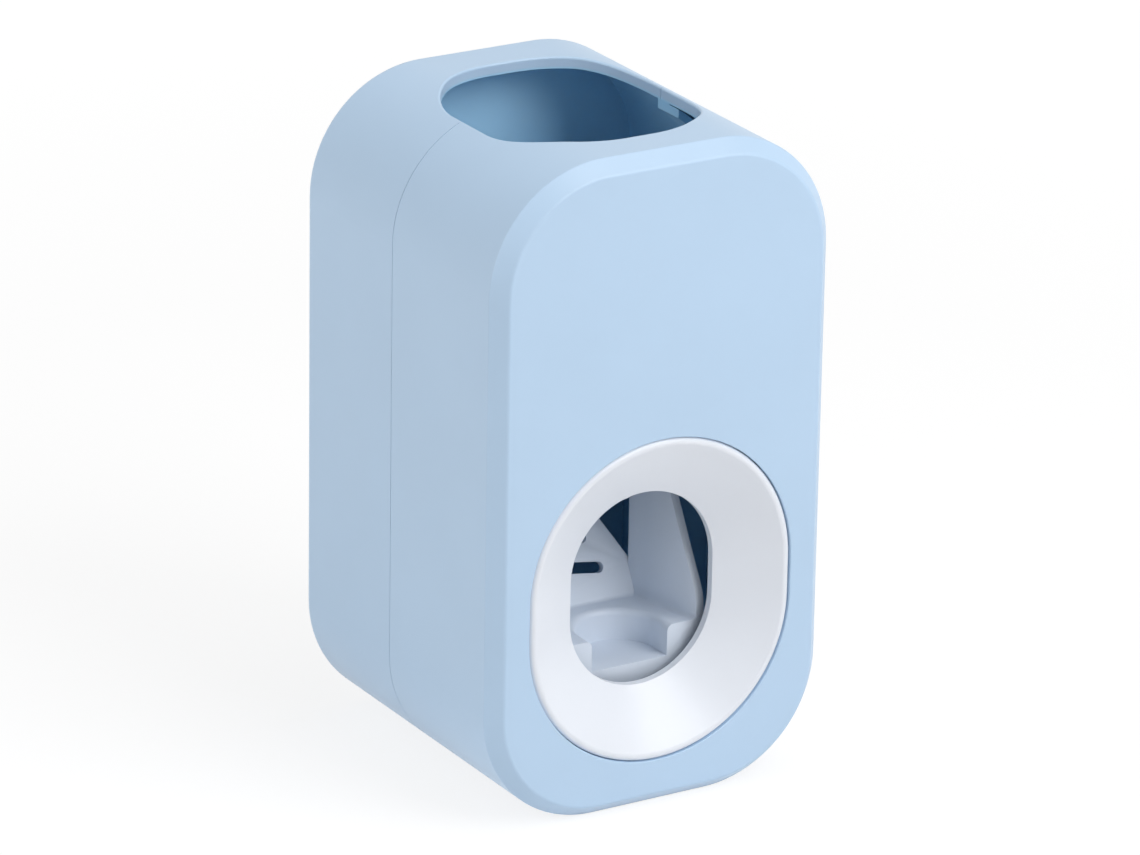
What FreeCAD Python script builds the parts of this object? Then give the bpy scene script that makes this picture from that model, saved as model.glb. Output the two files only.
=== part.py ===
import FreeCAD
import Part
import Sketcher
import math
import os
import re

# A wall-mounted toothpaste dispenser: a two-part housing with a brush port and an open top for the tube,
# and inside it a push lever that squeezes a pump bulb.
# X runs to the right, Y to the back and Z up. The origin is on the floor under the middle of the housing.

# Driving dimensions, in millimetres and degrees
SIZES = {
    # Housing
    "body_width": 70.0,
    "body_depth": 69.0,
    "body_height": 125.0,
    "corner_radius": 23.0,
    "front_bevel_in": 2.5,
    "front_bevel_back": 3.0,
    "front_ridge_round": 0.8,
    "side_ridge_round": 0.4,
    "rear_round": 2.0,
    "wall": 2.2,
    "front_shell_depth": 37.0,
    "seam_gap": 0.12,
    "lip_reach": 3.0,
    "lip_root": 4.0,
    "lip_wall": 1.4,
    "lip_break": 2.0,
    "slide_gap": 0.3,
    # Opening for the tube in the top
    "well_width": 41.4,
    "well_depth": 47.6,
    "well_corner": 18.0,
    "well_round": 0.4,
    # Brush port, a funnel of one section all round
    "port_width": 30.0,
    "port_height": 37.2,
    "port_middle": 40.1,
    "port_depth": 6.8,
    "port_flare": 12.35,
    "port_skin": 1.5,
    "port_lip_round": 1.0,
    "port_flange": 1.5,
    "port_flange_thick": 1.3,
    "port_gap": 0.12,
    "port_hole_round": 0.15,
    # Brush seat of the lever
    "seat_setback": 2.2,
    "seat_depth": 15.4,
    "seat_behind_plate": 2.4,
    "seat_low": 19.5,
    "seat_floor": 24.0,
    "seat_top": 30.0,
    "notch_radius": 8.0,
    "notch_straight": 4.0,
    "notch_round": 1.3,
    "seat_round": 1.0,
    # Flared arms of the lever
    "arm_half": 10.2,
    "toe_half": 14.1,
    "arm_thick": 1.6,
    "arm_bow": 0.4,
    "arm_behind_bar": 0.4,
    "brow_height": 34.5,
    "brow_round": 12.0,
    "knee_height": 63.5,
    # Slotted plate between the arms, in its own leaning plane
    "plate_lean": 21.4,
    "plate_thick": 1.6,
    "plate_shoulder": 6.2,
    "plate_neck": 17.2,
    "plate_neck_half": 4.6,
    "plate_crown": 20.2,
    "slot_height": 2.1,
    "slot_tilt": 8.5,
    "long_slot": 10.0,
    "long_slot_up": 6.9,
    "short_slot": 5.0,
    "short_slot_up": 12.5,
    # Pivot of the lever
    "pivot_height": 94.2,
    "pivot_ahead": 15.0,
    "boss_radius": 4.2,
    "boss_outer": 14.6,
    "pin_radius": 1.5,
    "running_gap": 0.05,
    "bush_wall": 1.0,
    "bush_flange": 0.5,
    "bush_flange_radius": 3.6,
    "clip_radius": 3.0,
    "clip_thick": 0.7,
    "clip_mouth": 2.0,
    "groove_depth": 0.4,
    "pin_end": 0.8,
    # Press bar of the lever and its pad
    "bar_thick": 4.5,
    "bar_height": 10.0,
    "bar_rise": 4.0,
    "pad_thick": 1.5,
    "pad_width": 14.0,
    "pad_height": 9.0,
    "pad_round": 3.0,
    "peg_radius": 1.8,
    "peg_length": 3.0,
    # Return spring on the pivot pin
    "spring_wire": 0.9,
    "spring_gap": 0.45,
    "spring_turns": 3,
    "spring_start": 3.6,
    "spring_arm": 9.5,
    "spring_tail": 9.0,
    # Squeeze bulb
    "pump_y": 6.0,
    "bulb_middle": 77.5,
    "bulb_radius": 11.0,
    "bulb_half_height": 8.0,
    "bulb_wall": 1.5,
    "neck_radius": 6.4,
    "neck_length": 4.0,
    "clamp_height": 2.4,
    "clamp_wall": 1.0,
    "fit_gap": 0.05,
    # Inner frame
    "frame_plate": 2.7,
    "frame_low": 52.0,
    "frame_top": 104.0,
    "frame_corner": 3.0,
    "ear_gap": 0.6,
    "ear_thick": 2.6,
    "ear_low": 84.0,
    "deck_thick": 3.0,
    "deck_front": 9.5,
    "stop_thick": 2.4,
    "stop_height": 4.0,
    # Frame screws
    "screw_x": 12.0,
    "screw_low": 78.0,
    "screw_high": 100.0,
    "screw_radius": 1.25,
    "screw_floor": 2.2,
    "screw_head_radius": 2.5,
    "screw_head": 1.7,
    "screw_boss_radius": 3.2,
    # Inlet collar, tube seal and inlet valve
    "inlet_bore": 3.0,
    "spigot_depth": 3.7,
    "collar_flange_radius": 11.0,
    "collar_flange": 2.0,
    "cup_radius": 10.0,
    "cup_wall": 1.5,
    "cup_depth": 9.7,
    "seal_bore": 7.0,
    "seal_brim": 1.2,
    "valve_disc": 1.2,
    "valve_beak": 3.5,
    "valve_skin": 0.7,
    "valve_slot": 0.4,
    # Outlet elbow and nozzle
    "duct_radius": 5.0,
    "duct_bore": 2.8,
    "duct_drop": 0.6,
    "stub_radius": 3.0,
    "nozzle_y": -14.0,
    "nozzle_radius": 5.4,
    "nozzle_wall": 1.6,
    "nozzle_low": 54.2,
    "nozzle_crown": 1.0,
    "nozzle_round": 1.5,
    "beak_length": 3.4,
    "beak_drop": 1.0,
    "beak_half_width": 2.8,
    "beak_half_thick": 0.8,
    "beak_slit": 0.3,
    # Wall bracket and adhesive pad
    "bracket_width": 43.0,
    "bracket_height": 46.0,
    "bracket_thick": 2.5,
    "bracket_middle": 66.0,
    "bracket_corner": 4.0,
    "bracket_gap": 0.5,
    "adhesive_thick": 1.0,
    "adhesive_margin": 2.0,
    "unhook_travel": 7.0,
    "hook_x": 12.0,
    "hook_width": 6.0,
    "hook_stem": 3.0,
    "hook_height": 60.0,
    "hook_tip": 5.0,
    "hook_tip_thick": 2.0,
}

# Places and sizes worked out from the driving dimensions
PLACES = {
    "half_width": "body_width / 2",
    "front_y": "-body_depth / 2",
    "rear_y": "body_depth / 2",
    "seam_y": "front_y + front_shell_depth",
    "rear_start_y": "seam_y + seam_gap",
    "lip_inset": "wall + slide_gap",
    "lip_inner_inset": "wall + slide_gap + lip_wall",
    "flat_half": "half_width - corner_radius",
    "corner_height": "body_height - corner_radius",
    "inner_corner": "corner_radius - wall",
    "lip_break_half": "well_width / 2 + lip_break",
    "lip_break_turn": "asin((lip_break_half - flat_half) / inner_corner)",
    # Brush port: the lip's arc is tangent to the funnel's slope and to its outer wall
    "port_half": "port_width / 2",
    "port_straight": "(port_height - port_width) / 2",
    "port_floor_y": "front_y + port_depth",
    "port_back_y": "port_floor_y + port_skin",
    "flange_y": "front_y + wall",
    "flange_back_y": "flange_y + port_flange_thick",
    "lip_run": "port_flare - port_lip_round",
    "lip_fall": "port_depth - port_lip_round",
    "lip_span": "lip_run^2 + lip_fall^2",
    "lip_share": "1 - port_lip_round^2 / lip_span",
    "lip_swing": "port_lip_round * sqrt(lip_span - port_lip_round^2) / lip_span",
    "lip_start_out": "lip_run * lip_share - lip_fall * lip_swing",
    "lip_start_in": "port_depth - lip_fall * lip_share - lip_run * lip_swing",
    "lip_middle_out": "lip_run + port_lip_round * sqrt(0.5)",
    "lip_middle_in": "port_lip_round * (1 - sqrt(0.5))",
    "slope_back_out": "lip_run * (port_back_y - flange_back_y) / lip_fall",
    # Lever
    "seat_front_y": "port_back_y + seat_setback",
    "plate_y": "seat_front_y + seat_depth",
    "seat_back_y": "plate_y + seat_behind_plate",
    "seat_front_half": "toe_half + arm_thick / 2",
    "seat_taper": "(toe_half - arm_half) / (arm_back_y - seat_front_y)",
    "seat_back_half": "seat_front_half - seat_taper * (seat_back_y - seat_front_y)",
    "plate_half": "arm_half + arm_thick / 2",
    "arm_back_y": "bar_back_y + arm_behind_bar",
    "arm_middle_half": "(arm_half + toe_half) / 2 - arm_bow",
    "arm_middle_y": "(seat_front_y + arm_back_y) / 2",
    "notch_y": "seat_front_y + notch_straight",
    "pivot_y": "pump_y - pivot_ahead",
    "bulb_front_y": "pump_y - bulb_radius",
    "bar_back_y": "bulb_front_y - slide_gap - pad_thick",
    "bar_low": "bulb_middle - bar_height / 2",
    "bar_high": "bulb_middle + bar_height / 2 + bar_rise",
    "bush_radius": "pin_radius + running_gap + bush_wall",
    "ear_inner": "boss_outer + ear_gap",
    "ear_outer": "ear_inner + ear_thick",
    "clip_inner": "ear_outer + running_gap",
    "clip_outer": "clip_inner + clip_thick",
    "groove_radius": "pin_radius - groove_depth",
    "pin_half": "clip_outer + running_gap + pin_end",
    # Pump
    "anvil_y": "pump_y + bulb_radius + slide_gap",
    "frame_back_y": "anvil_y + frame_plate",
    "bulb_low": "bulb_middle - bulb_half_height",
    "bulb_high": "bulb_middle + bulb_half_height",
    "bulb_bottom": "bulb_low - neck_length",
    "bulb_top": "bulb_high + neck_length",
    "neck_bore": "neck_radius - bulb_wall",
    "spigot_radius": "neck_bore - fit_gap",
    "deck_low": "bulb_top + slide_gap",
    "deck_top": "deck_low + deck_thick",
    "deck_front_y": "pump_y - deck_front",
    "stop_back_y": "pivot_y - boss_radius - slide_gap",
    "stop_front_y": "stop_back_y - stop_thick",
    "cup_floor": "deck_top + collar_flange",
    "cup_top": "cup_floor + cup_depth",
    "cup_bore": "cup_radius - cup_wall",
    "seal_radius": "cup_bore - fit_gap",
    "seal_low": "cup_floor + valve_disc",
    "duct_height": "bulb_bottom - duct_drop - duct_radius",
    "duct_top": "duct_height + duct_radius",
    "nozzle_top": "duct_top + nozzle_crown",
    "nozzle_bore": "nozzle_radius - nozzle_wall",
    "beak_top": "nozzle_low + beak_drop",
    "coil_radius": "bar_back_y - pivot_y + spring_wire / 2 + running_gap",
    "spring_hole_radius": "spring_wire / 2 + slide_gap",
    "spring_pitch": "spring_wire + spring_gap",
    "spring_end": "spring_start + (spring_turns + 0.75) * spring_pitch",
    "tail_end_y": "pivot_y + spring_tail + slide_gap",
    "tail_drift": "spring_pitch * ((deck_front_y + tail_end_y) / 2 - pivot_y) / (2 * pi * coil_radius)",
    # Wall bracket
    "recess_depth": "slide_gap + bracket_thick + adhesive_thick",
    "recess_y": "rear_y - recess_depth",
    "recess_half": "bracket_width / 2 + bracket_gap",
    "recess_top": "bracket_middle + bracket_height / 2 + bracket_gap",
    "recess_low": "bracket_middle - bracket_height / 2 - unhook_travel - bracket_gap",
    "bracket_front_y": "recess_y + slide_gap",
    "bracket_back_y": "bracket_front_y + bracket_thick",
    "screw_tip_y": "recess_y - wall - screw_floor",
    "hook_back_y": "recess_y - wall - slide_gap",
    "hook_front_y": "hook_back_y - hook_tip_thick",
    "hook_top": "hook_height + hook_stem",
    "slot_top": "hook_top + slide_gap",
    "slot_low": "hook_height - unhook_travel - slide_gap",
}

NORMAL_SIGN = {"XY_Plane": 1, "XZ_Plane": -1, "YZ_Plane": 1}
ROD_TURN = {
    "X": FreeCAD.Rotation(FreeCAD.Vector(0, 1, 0), 90),
    "Y": FreeCAD.Rotation(FreeCAD.Vector(1, 0, 0), -90),
    "Z": FreeCAD.Rotation(),
}
CLOSE = 0.01
SIDES = (-1, 1)
SCREW_PLACES = [(f"{side} * screw_x", height) for side in SIDES for height in ("screw_low", "screw_high")]

doc = FreeCAD.newDocument("toothpaste_dispenser")
sheet = doc.addObject("Spreadsheet::Sheet", "Sizes")


def fill_sheet():
    """Write each driving dimension to a row of the sheet, under its own name."""
    for row, (name, size) in enumerate(SIZES.items(), start=1):
        sheet.set(f"A{row}", name)
        sheet.set(f"B{row}", str(size))
        sheet.setAlias(f"B{row}", name)
    doc.recompute()


def formula(text):
    """Spell a formula in plain size names as an expression on the sheet."""

    def spell(match):
        word = match.group(0)
        if word in PLACES:
            return f"({formula(PLACES[word])})"
        if word in SIZES:
            return f"Sizes.{word}"
        return word

    return re.sub(r"[a-z][a-z_]*", spell, text)


def number(text):
    """Value of a formula in plain size names."""
    return float(sheet.evalExpression(formula(text)))


def bind(thing, **formulas):
    """Tie an object's properties to formulas."""
    for name, text in formulas.items():
        thing.setExpression(name, formula(text))


def place(thing, x, y, z):
    """Tie the corner or base point of an object to formulas."""
    for axis, text in zip("xyz", (x, y, z)):
        thing.setExpression(f"Placement.Base.{axis}", formula(text))


def new_body(label):
    body = doc.addObject("PartDesign::Body", label)
    body.Label = label
    return body


def sketch_on(body, role, height):
    """New sketch on one of the body's own planes, moved along the plane's axis to a height."""
    sketch = body.newObject("Sketcher::SketchObject", f"{body.Name}_sketch")
    plane = next(item for item in body.Origin.OriginFeatures if item.Role == role)
    sketch.AttachmentSupport = [(plane, "")]
    sketch.MapMode = "FlatFace"
    sketch.setExpression("AttachmentOffset.Base.z", formula(f"{NORMAL_SIGN[role]} * ({height})"))
    return sketch


def pin_point(sketch, geometry, point, stop):
    """Hold a point of a sketch at two formulas, measured from the sketch's origin."""
    for kind, text in zip(("DistanceX", "DistanceY"), stop):
        row = sketch.addConstraint(Sketcher.Constraint(kind, -1, 1, geometry, point, number(text)))
        sketch.setExpression(f"Constraints[{row}]", formula(text))


def outline(sketch, stops):
    """Draw an outline through its stops. A stop marked via is the middle of a round stretch."""
    spots = [FreeCAD.Vector(number(stop[0]), number(stop[1]), 0) for stop in stops]
    corners = [index for index, stop in enumerate(stops) if len(stop) == 2]
    ends = []
    for here, following in zip(corners, corners[1:] + corners[:1]):
        middle = (here + 1) % len(stops)
        is_round = middle != following
        if is_round:
            edge = sketch.addGeometry(Part.Arc(spots[here], spots[middle], spots[following]))
            dot = sketch.addGeometry(Part.Point(spots[middle]), True)
            sketch.addConstraint(Sketcher.Constraint("PointOnObject", dot, 1, edge))
            pin_point(sketch, dot, 1, stops[middle])
        else:
            edge = sketch.addGeometry(Part.LineSegment(spots[here], spots[following]))
        is_forward = sketch.getPoint(edge, 1).distanceToPoint(spots[here]) < CLOSE
        start = 1 if is_forward else 2
        ends.append((edge, start, 3 - start))
        pin_point(sketch, edge, start, stops[here])
    for (edge, _, end), (next_edge, start, _) in zip(ends, ends[1:] + ends[:1]):
        sketch.addConstraint(Sketcher.Constraint("Coincident", edge, end, next_edge, start))


def rounded_rectangle(left, right, low, high, radius):
    """Stops of a rectangle with round corners."""
    bite = f"({radius}) * (1 - sqrt(0.5))"
    return [
        (f"{left} + ({radius})", low),
        (f"{right} - ({radius})", low),
        (f"{right} - {bite}", f"{low} + {bite}", "via"),
        (right, f"{low} + ({radius})"),
        (right, f"{high} - ({radius})"),
        (f"{right} - {bite}", f"{high} - {bite}", "via"),
        (f"{right} - ({radius})", high),
        (f"{left} + ({radius})", high),
        (f"{left} + {bite}", f"{high} - {bite}", "via"),
        (left, f"{high} - ({radius})"),
        (left, f"{low} + ({radius})"),
        (f"{left} + {bite}", f"{low} + {bite}", "via"),
    ]


def housing_outline(inset):
    """Stops of the housing's front outline, moved inwards by an inset."""
    return rounded_rectangle(
        f"-half_width + {inset}",
        f"half_width - ({inset})",
        inset,
        f"body_height - ({inset})",
        f"corner_radius - ({inset})",
    )


def port_outline(out):
    """Stops of the brush port's outline, moved outwards. It starts in the middle of its right side."""
    half = f"port_half + ({out})"
    return [
        (half, "port_middle"),
        (half, "port_middle + port_straight"),
        ("0", f"port_middle + port_straight + {half}", "via"),
        (f"-({half})", "port_middle + port_straight"),
        (f"-({half})", "port_middle - port_straight"),
        ("0", f"port_middle - port_straight - ({half})", "via"),
        (half, "port_middle - port_straight"),
    ]


def two_arcs(half_long, half_wide, middle_y):
    """Stops of a round or lens-shaped outline made of two arcs."""
    return [
        (f"-({half_long})", middle_y),
        ("0", f"{middle_y} - ({half_wide})", "via"),
        (half_long, middle_y),
        ("0", f"{middle_y} + {half_wide}", "via"),
    ]


def slot_outline(length, middle):
    """Stops of a tilted slot with round ends, centred on the sketch's upright axis."""
    half = f"{length} / 2"
    straight = f"({length} - slot_height) / 2"

    def tilted(along, across, *mark):
        x = f"({along}) * cos(slot_tilt) + ({across}) * sin(slot_tilt)"
        y = f"{middle} - ({along}) * sin(slot_tilt) + ({across}) * cos(slot_tilt)"
        return (x, y, *mark)

    return [
        tilted(f"-{straight}", "-slot_height / 2"),
        tilted(straight, "-slot_height / 2"),
        tilted(half, "0", "via"),
        tilted(straight, "slot_height / 2"),
        tilted(f"-{straight}", "slot_height / 2"),
        tilted(f"-{half}", "0", "via"),
    ]


def check_cut(feature):
    """Stop if a cut has removed nothing."""
    doc.recompute()
    if feature.BaseFeature.Shape.Volume - feature.Shape.Volume < CLOSE:
        raise ValueError(f"{feature.Name} cuts nothing")


def carry(body, sketch, length, forward, cut=False):
    """Carry a sketch along its plane's axis, as material or as a cut."""
    feature = body.newObject("PartDesign::Pocket" if cut else "PartDesign::Pad", f"{body.Name}_run")
    feature.Profile = sketch
    bind(feature, Length=length)
    feature.Reversed = forward if cut else not forward
    if cut:
        check_cut(feature)
    return feature


def extrude(body, role, low, high, *outlines, cut=False):
    """Draw outlines on a plane at low and carry them on to high along the plane's axis."""
    sketch = sketch_on(body, role, low)
    for stops in outlines:
        outline(sketch, stops)
    return carry(body, sketch, f"{high} - ({low})", NORMAL_SIGN[role] > 0, cut)


def revolve(body, y, stops):
    """Turn an outline of radius and height about the upright axis at y."""
    sketch = sketch_on(body, "XZ_Plane", y)
    outline(sketch, stops)
    feature = body.newObject("PartDesign::Revolution", f"{body.Name}_turned")
    feature.Profile = sketch
    feature.ReferenceAxis = (sketch, ["V_Axis"])
    return feature


def set_rod(rod, axis, x, y, z, length, radius):
    """Give a cylinder its size and put its base point at x, y, z, with its length along an axis."""
    rod.Placement = FreeCAD.Placement(FreeCAD.Vector(), ROD_TURN[axis])
    bind(rod, Radius=radius, Height=length)
    place(rod, x, y, z)
    return rod


def rod(body, axis, x, y, z, length, radius, cut=False):
    """Add or cut a cylinder."""
    kind = "Subtractive" if cut else "Additive"
    feature = body.newObject(f"PartDesign::{kind}Cylinder", f"{body.Name}_rod")
    set_rod(feature, axis, x, y, z, length, radius)
    if cut:
        check_cut(feature)
    return feature


def block(body, x, y, z, cut=False):
    """Add or cut a box between the low and high ends that are given for each axis."""
    kind = "Subtractive" if cut else "Additive"
    feature = body.newObject(f"PartDesign::{kind}Box", f"{body.Name}_block")
    lengths = [f"{high} - ({low})" for low, high in (x, y, z)]
    bind(feature, Length=lengths[0], Width=lengths[1], Height=lengths[2])
    place(feature, x[0], y[0], z[0])
    if cut:
        check_cut(feature)
    return feature


def cylinder(axis, x, y, z, length, radius):
    """Loose cylinder for a piece that is made of plain round stock."""
    return set_rod(doc.addObject("Part::Cylinder", "stock"), axis, x, y, z, length, radius)


def cut_away(base, tool):
    cut = doc.addObject("Part::Cut", "cut")
    cut.Base = base
    cut.Tool = tool
    return cut


def fuse(*pieces):
    joined = doc.addObject("Part::MultiFuse", "joined")
    joined.Shapes = list(pieces)
    return joined


def group(label, pieces):
    """Group of like pieces that share a node and stay separate solids."""
    compound = doc.addObject("Part::Compound", label)
    compound.Label = label
    compound.Links = pieces
    return compound


def within(x, y, z):
    """Chooser of the edges that lie between the low and high ends that are given for each axis."""
    limits = [(number(low) - CLOSE, number(high) + CLOSE) for low, high in (x, y, z)]

    def lies_within(edge):
        spots = edge.discretize(5)
        return all(low <= value <= high for spot in spots for value, (low, high) in zip(spot, limits))

    return lies_within


def round_edges(body, radius, *choosers):
    """Round the edges of a body that one of the choosers picks."""
    doc.recompute()
    base = body.Tip
    edges = enumerate(base.Shape.Edges, start=1)
    names = [f"Edge{index}" for index, edge in edges if any(chosen(edge) for chosen in choosers)]
    if not names:
        raise ValueError(f"{body.Name} has no such edge to round")
    fillet = body.newObject("PartDesign::Fillet", f"{body.Name}_round")
    fillet.Base = (base, names)
    bind(fillet, Radius=radius)
    return fillet


def bevel_edges(body, back, inward, chooser):
    """Bevel the edges of a body that the chooser picks, by one length backwards and one inwards."""
    doc.recompute()
    base = body.Tip
    names = [f"Edge{index}" for index, edge in enumerate(base.Shape.Edges, start=1) if chooser(edge)]
    if not names:
        raise ValueError(f"{body.Name} has no such edge to bevel")
    bevel = body.newObject("PartDesign::Chamfer", f"{body.Name}_bevel")
    bevel.Base = (base, names)
    bevel.ChamferType = "Two distances"
    bind(bevel, Size=back, Size2=inward)
    return bevel


def cut_well(body):
    """Cut the opening for the tube through the top and round its outer rim."""
    half_wide = "well_width / 2"
    half_deep = "well_depth / 2"
    opening = rounded_rectangle(f"-{half_wide}", half_wide, f"-{half_deep}", half_deep, "well_corner")
    extrude(body, "XY_Plane", "corner_height", "body_height + wall", opening, cut=True)
    rim = within(
        (f"-{half_wide}", half_wide),
        (f"-{half_deep}", half_deep),
        ("corner_height", "body_height"),
    )
    flat_half = number("flat_half")
    corner_height = number("corner_height")
    corner_radius = number("corner_radius")

    def on_outside(edge):
        spots = edge.discretize(5)
        reaches = [math.hypot(max(abs(x) - flat_half, 0), z - corner_height) for x, _, z in spots]
        return rim(edge) and all(abs(reach - corner_radius) < CLOSE for reach in reaches)

    round_edges(body, "well_round", on_outside)


def make_front_shell():
    body = new_body("front_shell")
    extrude(body, "XZ_Plane", "front_y", "seam_y", housing_outline("0"))
    across = ("-half_width", "half_width")
    upright = ("0", "body_height")
    bevel_back_y = "front_y + front_bevel_back"
    bevel_edges(body, "front_bevel_back", "front_bevel_in", within(across, ("front_y", "front_y"), upright))
    round_edges(body, "front_ridge_round", within(across, ("front_y", "front_y"), upright))
    round_edges(body, "side_ridge_round", within(across, (bevel_back_y, bevel_back_y), upright))
    extrude(body, "XZ_Plane", "front_y + wall", "seam_y", housing_outline("wall"), cut=True)
    hole = port_outline("port_flare + port_gap")
    extrude(body, "XZ_Plane", "front_y - wall", "front_y + 2 * wall", hole, cut=True)
    reach = "port_half + port_flare + port_gap"
    hole_edge = within(
        (f"-({reach})", reach),
        ("front_y", "front_y"),
        (f"port_middle - port_straight - ({reach})", f"port_middle + port_straight + {reach}"),
    )
    round_edges(body, "port_hole_round", hole_edge)
    cut_well(body)
    return body


def lip_break_outline():
    """Space under the top where the lip stops short of the opening for the tube."""
    side_height = "corner_height + inner_corner * cos(lip_break_turn)"
    middle_reach = "flat_half + inner_corner * sin(lip_break_turn / 2)"
    middle_height = "corner_height + inner_corner * cos(lip_break_turn / 2)"
    return [
        ("-lip_break_half", "corner_height"),
        ("lip_break_half", "corner_height"),
        ("lip_break_half", side_height),
        (middle_reach, middle_height, "via"),
        ("flat_half", "body_height - wall"),
        ("-flat_half", "body_height - wall"),
        (f"-({middle_reach})", middle_height, "via"),
        ("-lip_break_half", side_height),
    ]


def make_rear_shell():
    body = new_body("rear_shell")
    extrude(body, "XZ_Plane", "rear_start_y", "rear_y", housing_outline("0"))
    back = within(("-half_width", "half_width"), ("rear_y", "rear_y"), ("0", "body_height"))
    round_edges(body, "rear_round", back)
    # Locating lip that reaches into the front shell
    extrude(body, "XZ_Plane", "seam_y - lip_reach", "rear_start_y", housing_outline("lip_inset"))
    lip_end = "rear_start_y + lip_root"
    extrude(body, "XZ_Plane", "seam_y - lip_reach", lip_end, housing_outline("lip_inner_inset"), cut=True)
    extrude(body, "XZ_Plane", lip_end, "rear_y - wall", housing_outline("wall"), cut=True)
    extrude(body, "XZ_Plane", "seam_y - lip_reach", lip_end, lip_break_outline(), cut=True)
    # Screw bosses for the inner frame, and the walls round the recess for the bracket
    for x, z in SCREW_PLACES:
        rod(body, "Y", x, "frame_back_y", z, "rear_y - wall / 2 - frame_back_y", "screw_boss_radius")
    outer_half = "recess_half + wall"
    tray = rounded_rectangle(
        f"-({outer_half})", outer_half, "recess_low - wall", "recess_top + wall", "bracket_corner + wall"
    )
    extrude(body, "XZ_Plane", "recess_y - wall", "rear_y - wall / 2", tray)
    recess = rounded_rectangle("-recess_half", "recess_half", "recess_low", "recess_top", "bracket_corner")
    extrude(body, "XZ_Plane", "recess_y", "rear_y + wall", recess, cut=True)
    for side in SIDES:
        low_x = f"{side} * hook_x - hook_width / 2 - slide_gap"
        high_x = f"{side} * hook_x + hook_width / 2 + slide_gap"
        block(body, (low_x, high_x), ("recess_y - 2 * wall", "rear_y"), ("slot_low", "slot_top"), cut=True)
    for x, z in SCREW_PLACES:
        rod(body, "Y", x, "frame_back_y", z, "screw_tip_y - frame_back_y", "screw_radius", cut=True)
    cut_well(body)
    return body


def make_brush_port():
    """Funnel whose section is carried round the opening."""
    body = new_body("brush_port")
    path = sketch_on(body, "XZ_Plane", "port_floor_y")
    outline(path, port_outline("0"))
    section = sketch_on(body, "XY_Plane", "port_middle")
    outline(
        section,
        [
            ("port_half", "port_floor_y"),
            ("port_half + lip_start_out", "front_y + lip_start_in"),
            ("port_half + lip_middle_out", "front_y + lip_middle_in", "via"),
            ("port_half + port_flare", "front_y + port_lip_round"),
            ("port_half + port_flare", "flange_y"),
            ("port_half + port_flare + port_flange", "flange_y"),
            ("port_half + port_flare + port_flange", "flange_back_y"),
            ("port_half + slope_back_out", "flange_back_y"),
            ("port_half", "port_back_y"),
        ],
    )
    funnel = body.newObject("PartDesign::AdditivePipe", "brush_port_funnel")
    funnel.Profile = section
    funnel.Spine = (path, [])
    return body


def make_push_lever():
    body = new_body("push_lever")
    # Brush seat with its notch
    seat = [
        ("-seat_front_half", "seat_front_y"),
        ("seat_front_half", "seat_front_y"),
        ("seat_back_half", "seat_back_y"),
        ("-seat_back_half", "seat_back_y"),
    ]
    extrude(body, "XY_Plane", "seat_low", "seat_top", seat)
    notch = [
        ("-notch_radius", "seat_front_y - wall"),
        ("notch_radius", "seat_front_y - wall"),
        ("notch_radius", "notch_y"),
        ("0", "notch_y + notch_radius", "via"),
        ("-notch_radius", "notch_y"),
    ]
    extrude(body, "XY_Plane", "seat_floor", "seat_top + wall", notch, cut=True)
    notch_edge = within(
        ("-notch_radius", "notch_radius"),
        ("seat_front_y", "notch_y + notch_radius"),
        ("seat_top", "seat_top"),
    )
    round_edges(body, "notch_round", notch_edge)
    # Flared arms, cut to a front edge that leans back to the pivot
    toe = "toe_half + arm_thick"
    arms = [
        [
            (f"{side} * toe_half", "seat_front_y"),
            (f"{side} * ({toe})", "seat_front_y"),
            (f"{side} * (arm_middle_half + arm_thick)", "arm_middle_y", "via"),
            (f"{side} * (arm_half + arm_thick)", "arm_back_y"),
            (f"{side} * arm_half", "arm_back_y"),
            (f"{side} * arm_middle_half", "arm_middle_y", "via"),
        ]
        for side in SIDES
    ]
    extrude(body, "XY_Plane", "seat_low", "pivot_height", *arms)
    front_waste = [
        ("seat_front_y - wall", "brow_height"),
        ("seat_front_y", "brow_height"),
        ("pivot_y - boss_radius", "knee_height"),
        ("pivot_y - boss_radius", "pivot_height + wall"),
        ("seat_front_y - wall", "pivot_height + wall"),
    ]
    extrude(body, "YZ_Plane", f"-({toe}) - wall", f"{toe} + wall", front_waste, cut=True)
    brow = within((f"-({toe})", toe), ("seat_front_y", "seat_front_y"), ("brow_height", "brow_height"))
    round_edges(body, "brow_round", brow)
    add_slotted_plate(body)
    seat_corners = [
        within((left, right), ("seat_front_y", "plate_y"), ("seat_top", "seat_top"))
        for left, right in (("-toe_half", "-arm_half"), ("arm_half", "toe_half"))
    ]
    foot_depth = ("plate_y - fit_gap", "plate_y")
    plate_foot = within(("-toe_half", "toe_half"), foot_depth, ("seat_top", "seat_top"))
    round_edges(body, "seat_round", *seat_corners, plate_foot)
    # Press bar with a hole for the pad's peg
    bar_front_y = "bar_back_y - bar_thick"
    block(body, ("-plate_half", "plate_half"), (bar_front_y, "bar_back_y"), ("bar_low", "bar_high"))
    rod(body, "Y", "0", "bar_back_y - peg_length", "bulb_middle", "peg_length", "peg_radius + fit_gap",
        cut=True)
    # Pivot bosses
    boss_length = "boss_outer - arm_half"
    for start in ("-boss_outer", "arm_half"):
        rod(body, "X", start, "pivot_y", "pivot_height", boss_length, "boss_radius")
    for start in ("-boss_outer", "arm_half"):
        rod(body, "X", start, "pivot_y", "pivot_height", boss_length, "bush_radius + fit_gap", cut=True)
    return body


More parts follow.
